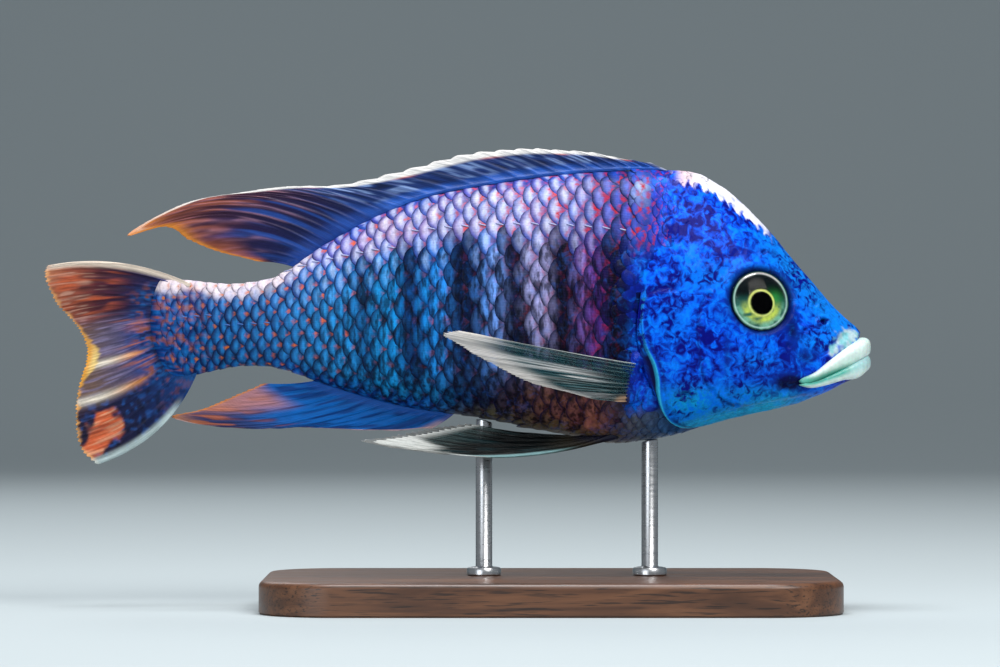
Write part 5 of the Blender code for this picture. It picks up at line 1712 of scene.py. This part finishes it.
def make_rod(along, settings):
    """A rod whose top is shaped to the belly, with a collar where it stands in the base."""
    way = circle(48)
    floor = settings.base_height / MM - AXIS_HEIGHT + 0.05
    rings = []
    for radius, up in COLLAR:
        rings.append(body_place(along + radius * np.cos(way), floor + up, radius * np.sin(way)))
    radius = settings.rod_radius / MM
    place_along, out = along + radius * np.cos(way), radius * np.sin(way)
    middle = widest_at(place_along)
    share = np.abs(out) / half_width_at(place_along)
    top = middle - (middle - belly_at(place_along)) * (1 - share**BELLY_FULLNESS) ** (1 / BELLY_FULLNESS)
    for sink, inset in ROD_TOP:
        squeeze = 1 - inset / radius
        rings.append(body_place(along + (place_along - along) * squeeze, top - sink, out * squeeze))
    return np.concatenate(rings), tube_faces(len(rings), len(way))


def make_sweep():
    """The floor, which curves up behind the fish into the backdrop."""
    half, radius, front, back, high, columns = 2200.0, 700.0, -2200.0, 900.0, 2600.0, 9
    line = [(front, 0.0), (back, 0.0)]
    for turn in np.linspace(0.06, math.pi / 2, 24):
        line.append((back + radius * math.sin(turn), radius * (1 - math.cos(turn))))
    line.append((back + radius, high))
    away, up = np.array(line).T[:, :, None]
    points = np.stack(np.broadcast_arrays(np.linspace(-half, half, columns), away, up - AXIS_HEIGHT), -1)
    return points.reshape(-1, 3), [grid_faces(len(line), columns)]


def add_light(name, at, to, size, power, colour):
    """A soft square lamp at a place in metres, turned to another."""
    lamp = bpy.data.lights.new(name, "AREA")
    lamp.shape = "SQUARE"
    lamp.size = size
    lamp.energy = power
    lamp.color = colour
    obj = bpy.data.objects.new(name, lamp)
    bpy.context.scene.collection.objects.link(obj)
    aim(obj, at, to)


def aim(obj, at, to):
    """Put a lamp or camera at a place and turn it to another."""
    obj.location = at
    obj.rotation_euler = (Vector(to) - Vector(at)).to_track_quat("-Z", "Y").to_euler()


def length_setting(name, description, default):
    """A length, in metres."""
    return bpy.props.FloatProperty(
        name=name, description=description, default=default, min=0.0, max=10.0, precision=5,
        subtype="DISTANCE", unit="LENGTH")


def power_setting(name, description, default):
    """A lamp's power, in watts."""
    return bpy.props.FloatProperty(
        name=name, description=description, default=default, min=0.0, subtype="POWER", unit="POWER")


def count_setting(name, description, default, low, high):
    """A whole number of points or rings."""
    return bpy.props.IntProperty(name=name, description=description, default=default, min=low, max=high)


def colour_setting(name, description, hex_colour):
    """A colour, from its sRGB hex."""
    return bpy.props.FloatVectorProperty(
        name=name, description=description, default=linear(hex_colour), min=0.0, max=1.0, size=3,
        subtype="COLOR")


class BodySettings(bpy.types.PropertyGroup):
    columns: count_setting("Points round the skin", "Points in each ring; an even number", 320, 64, 512)
    head_rings: count_setting("Rings of the head", "Rings from the lips to the gill slit", 190, 40, 400)
    trunk_rings: count_setting("Rings of the trunk", "Rings from the slit to the tail fin", 90, 30, 400)
    mottle_size: length_setting("Mottle size", "Width of the worm-like marks on the head", 0.0015)
    mottle_dark: colour_setting("Dark mottling", "Violet between the blue marks of the head", "#060E78")
    mottle_light: colour_setting("Light mottling", "Lightest blue of the head's marks", "#047AF8")
    edge_colour: colour_setting("Scale edge", "Pigment along a scale's free edge", "#0A1034")
    thickness: length_setting("Scale thickness", "How thick a scale is", 0.0001)
    lift: length_setting("Scale lift", "How far a scale's free edge stands off the skin", 0.00034)


class MouthAndEyeSettings(bpy.types.PropertyGroup):
    pupil: length_setting("Pupil radius", "Half the width of the eye's pupil", 0.0021)


class StandSettings(bpy.types.PropertyGroup):
    base_length: length_setting("Base length", "Length of the walnut base", 0.104)
    base_width: length_setting("Base width", "Width of the walnut base", 0.06)
    base_height: length_setting("Base height", "Thickness of the walnut base", 0.006)
    base_edge: length_setting("Base edge", "Radius of the base's upper edge", 0.0012)
    rod_radius: length_setting("Rod radius", "Half the width of a steel rod", 0.0015)
    wood_colour: colour_setting("Wood colour", "Middle brown of the walnut", "#5A3822")


class StageSettings(bpy.types.PropertyGroup):
    board_colour: colour_setting("Board colour", "Colour of the floor and backdrop", "#AEB8BC")
    lens: bpy.props.FloatProperty(
        name="Lens", description="Focal length in millimetres on a 36 mm sensor", default=179.0, min=20.0)
    camera_distance: length_setting("Camera distance", "From the camera to the fish's midplane", 0.9)
    key_power: power_setting("Key light", "Power of the large lamp above the head", 3.6)
    top_power: power_setting("Top light", "Power of the lamp over the back", 3.4)
    fill_power: power_setting("Fill light", "Power of the soft lamp beside the camera", 2.0)


class CICHLID_OT_skin(bpy.types.Operator):
    """Make the one skin of head, gill covers, trunk and tail"""
    bl_idname = "cichlid.skin"
    bl_label = "Skin"

    def execute(self, context):
        make_skin(context.scene.cichlid_body)
        return {"FINISHED"}


class CICHLID_OT_scales(bpy.types.Operator):
    """Lay the coat of scales and the lateral line over the skin"""
    bl_idname = "cichlid.scales"
    bl_label = "Scales"

    def execute(self, context):
        make_coat(context.scene.cichlid_body)
        return {"FINISHED"}


class CICHLID_OT_lips(bpy.types.Operator):
    """Make both lips"""
    bl_idname = "cichlid.lips"
    bl_label = "Lips"

    def execute(self, context):
        flesh = lip_flesh()
        upper = make_lip("upper_lip_flesh", UPPER_LIP_EDGE, True, flesh)
        lower = make_lip("lower_lip_flesh", LOWER_LIP_EDGE, False, flesh)
        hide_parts("lip_upper")
        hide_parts("lip_lower")
        return {"FINISHED"}


class CICHLID_OT_eyes(bpy.types.Operator):
    """Make both eyes, each an eyeball under a clear cornea"""
    bl_idname = "cichlid.eyes"
    bl_label = "Eyes"

    def execute(self, context):
        platelets, clear = iris_pigment(), clear_cornea()
        for side, word in SIDES:
            make_eyeball(side, word, context.scene.cichlid_mouth_and_eyes, platelets)
            make_cornea(side, word, clear)
        return {"FINISHED"}


class CICHLID_OT_fins(bpy.types.Operator):
    """Make the seven fins"""
    bl_idname = "cichlid.fins"
    bl_label = "Fins"

    def execute(self, context):
        webbed, glassy = fin_membrane("Fin_skin_over_rays"), fin_membrane("Fin_skin_clear", clear=True)
        make_fin("dorsal_rays", median_sheet(DORSAL_RAYS, back_at, 1, DORSAL_LEAN), 27, dorsal_paint, webbed,
                 "dorsal_fin", 0.7, (10, 56, 17, 0.9, 0.3, 0.9), 1)
        make_fin("anal_rays", median_sheet(ANAL_RAYS, belly_at, -1, ANAL_LEAN), 12, anal_paint, webbed,
                 "anal_fin", 0.5, (14, 64, 3, 0.9, 0.3, 0.9), 2)
        make_fin("caudal_rays", caudal_sheet, 16, caudal_paint, webbed,
                 "caudal_fin", 0.9, (16, 80, 0, 0.3, 0.4, 0.5), 3)
        for side, word in SIDES:
            make_fin(f"pectoral_rays_{word}", pectoral_sheet(side), 12, pectoral_paint, glassy,
                     f"pectoral_fin_{word}", 0.5, (14, 72, 0, 0.3, 0.35, 0.9), 5)
            make_fin(f"pelvic_rays_{word}", pelvic_sheet(side), 6, pelvic_paint, glassy,
                     f"pelvic_fin_{word}", 0.6, (20, 64, 1, 0.4, 0.6, 0.9), 7)
        return {"FINISHED"}


class CICHLID_OT_stand(bpy.types.Operator):
    """Make the walnut base and the two steel rods"""
    bl_idname = "cichlid.stand"
    bl_label = "Stand"

    def execute(self, context):
        settings = context.scene.cichlid_stand
        points, faces = make_base(settings)
        base = make_piece("walnut_base", place(points), faces, oiled_walnut(settings), sharp=40)
        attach(base, "root")
        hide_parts("stand_base")
        steel = brushed_steel()
        for along, word in zip(ROD_ALONG, ("front", "rear")):
            points, faces = make_rod(along, settings)
            rod = make_piece(f"steel_rod_{word}", place(points), faces, steel, sharp=40)
            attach(rod, "root")
            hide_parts(f"stand_rod_{word}")
        return {"FINISHED"}


class CICHLID_OT_stage(bpy.types.Operator):
    """Set up the floor, the lights and the camera"""
    bl_idname = "cichlid.stage"
    bl_label = "Stage"

    def execute(self, context):
        settings = context.scene.cichlid_stage
        points, faces = make_sweep()
        floor = make_piece("floor_and_backdrop", place(points), faces, matt_board(settings))
        middle = (0.0, 0.0, AXIS_HEIGHT * MM)
        add_light("key_lamp", (0.28, -0.42, 0.52), middle, 0.36, settings.key_power, (1.0, 0.98, 0.95))
        add_light("top_lamp", (0.0, -0.05, 0.62), middle, 0.30, settings.top_power, (1.0, 1.0, 1.0))
        add_light("fill_lamp", (-0.45, -0.75, 0.22), middle, 0.5, settings.fill_power, (0.92, 0.96, 1.0))
        add_light("rear_lamp", (-0.2, 0.55, 0.5), middle, 0.4, settings.fill_power * 0.7, (1.0, 1.0, 1.0))
        world = bpy.data.worlds.new("Studio_air")
        world.use_nodes = True
        glow = world.node_tree.nodes["Background"]
        glow.inputs["Color"].default_value = (*linear("#DCE4EA"), 1.0)
        glow.inputs["Strength"].default_value = 0.32
        context.scene.world = world
        lens = bpy.data.cameras.new("photo_camera")
        lens.lens = settings.lens
        lens.sensor_width = SENSOR_WIDTH
        camera = bpy.data.objects.new("photo_camera", lens)
        context.scene.collection.objects.link(camera)
        aim(camera, VIEW_CENTRE - Vector((0.0, settings.camera_distance, 0.0)), VIEW_CENTRE)
        context.scene.camera = camera
        context.scene.view_settings.view_transform = "Standard"
        return {"FINISHED"}


OPERATORS = (
    CICHLID_OT_skin, CICHLID_OT_scales, CICHLID_OT_lips, CICHLID_OT_eyes, CICHLID_OT_fins,
    CICHLID_OT_stand, CICHLID_OT_stage,
)
SETTINGS = {
    "cichlid_body": BodySettings, "cichlid_mouth_and_eyes": MouthAndEyeSettings,
    "cichlid_stand": StandSettings, "cichlid_stage": StageSettings,
}


class CICHLID_PT_panel(bpy.types.Panel):
    """The model's sizes, colours and pieces"""
    bl_idname = "CICHLID_PT_panel"
    bl_label = "Display cichlid"
    bl_space_type = "VIEW_3D"
    bl_region_type = "UI"
    bl_category = "Fish"

    def draw(self, context):
        for title, kind in SETTINGS.items():
            box = self.layout.box()
            for name in kind.__annotations__:
                box.prop(getattr(context.scene, title), name)
        for operator in OPERATORS:
            self.layout.operator(operator.bl_idname)


def register():
    """Make the settings, operators and panel known, and hang the settings on the scene."""
    for kind in (*SETTINGS.values(), *OPERATORS, CICHLID_PT_panel):
        bpy.utils.register_class(kind)
    for title, kind in SETTINGS.items():
        setattr(bpy.types.Scene, title, bpy.props.PointerProperty(type=kind))


def unregister():
    """Take away what register made known."""
    for title in SETTINGS:
        delattr(bpy.types.Scene, title)
    for kind in (CICHLID_PT_panel, *OPERATORS, *SETTINGS.values()):
        bpy.utils.unregister_class(kind)


def main():
    """Make every piece and the stage through the operators."""
    register()
    bpy.ops.cichlid.skin()
    bpy.ops.cichlid.scales()
    bpy.ops.cichlid.lips()
    bpy.ops.cichlid.eyes()
    bpy.ops.cichlid.fins()
    bpy.ops.cichlid.stand()
    bpy.ops.cichlid.stage()


if __name__ == "__main__":
    main()
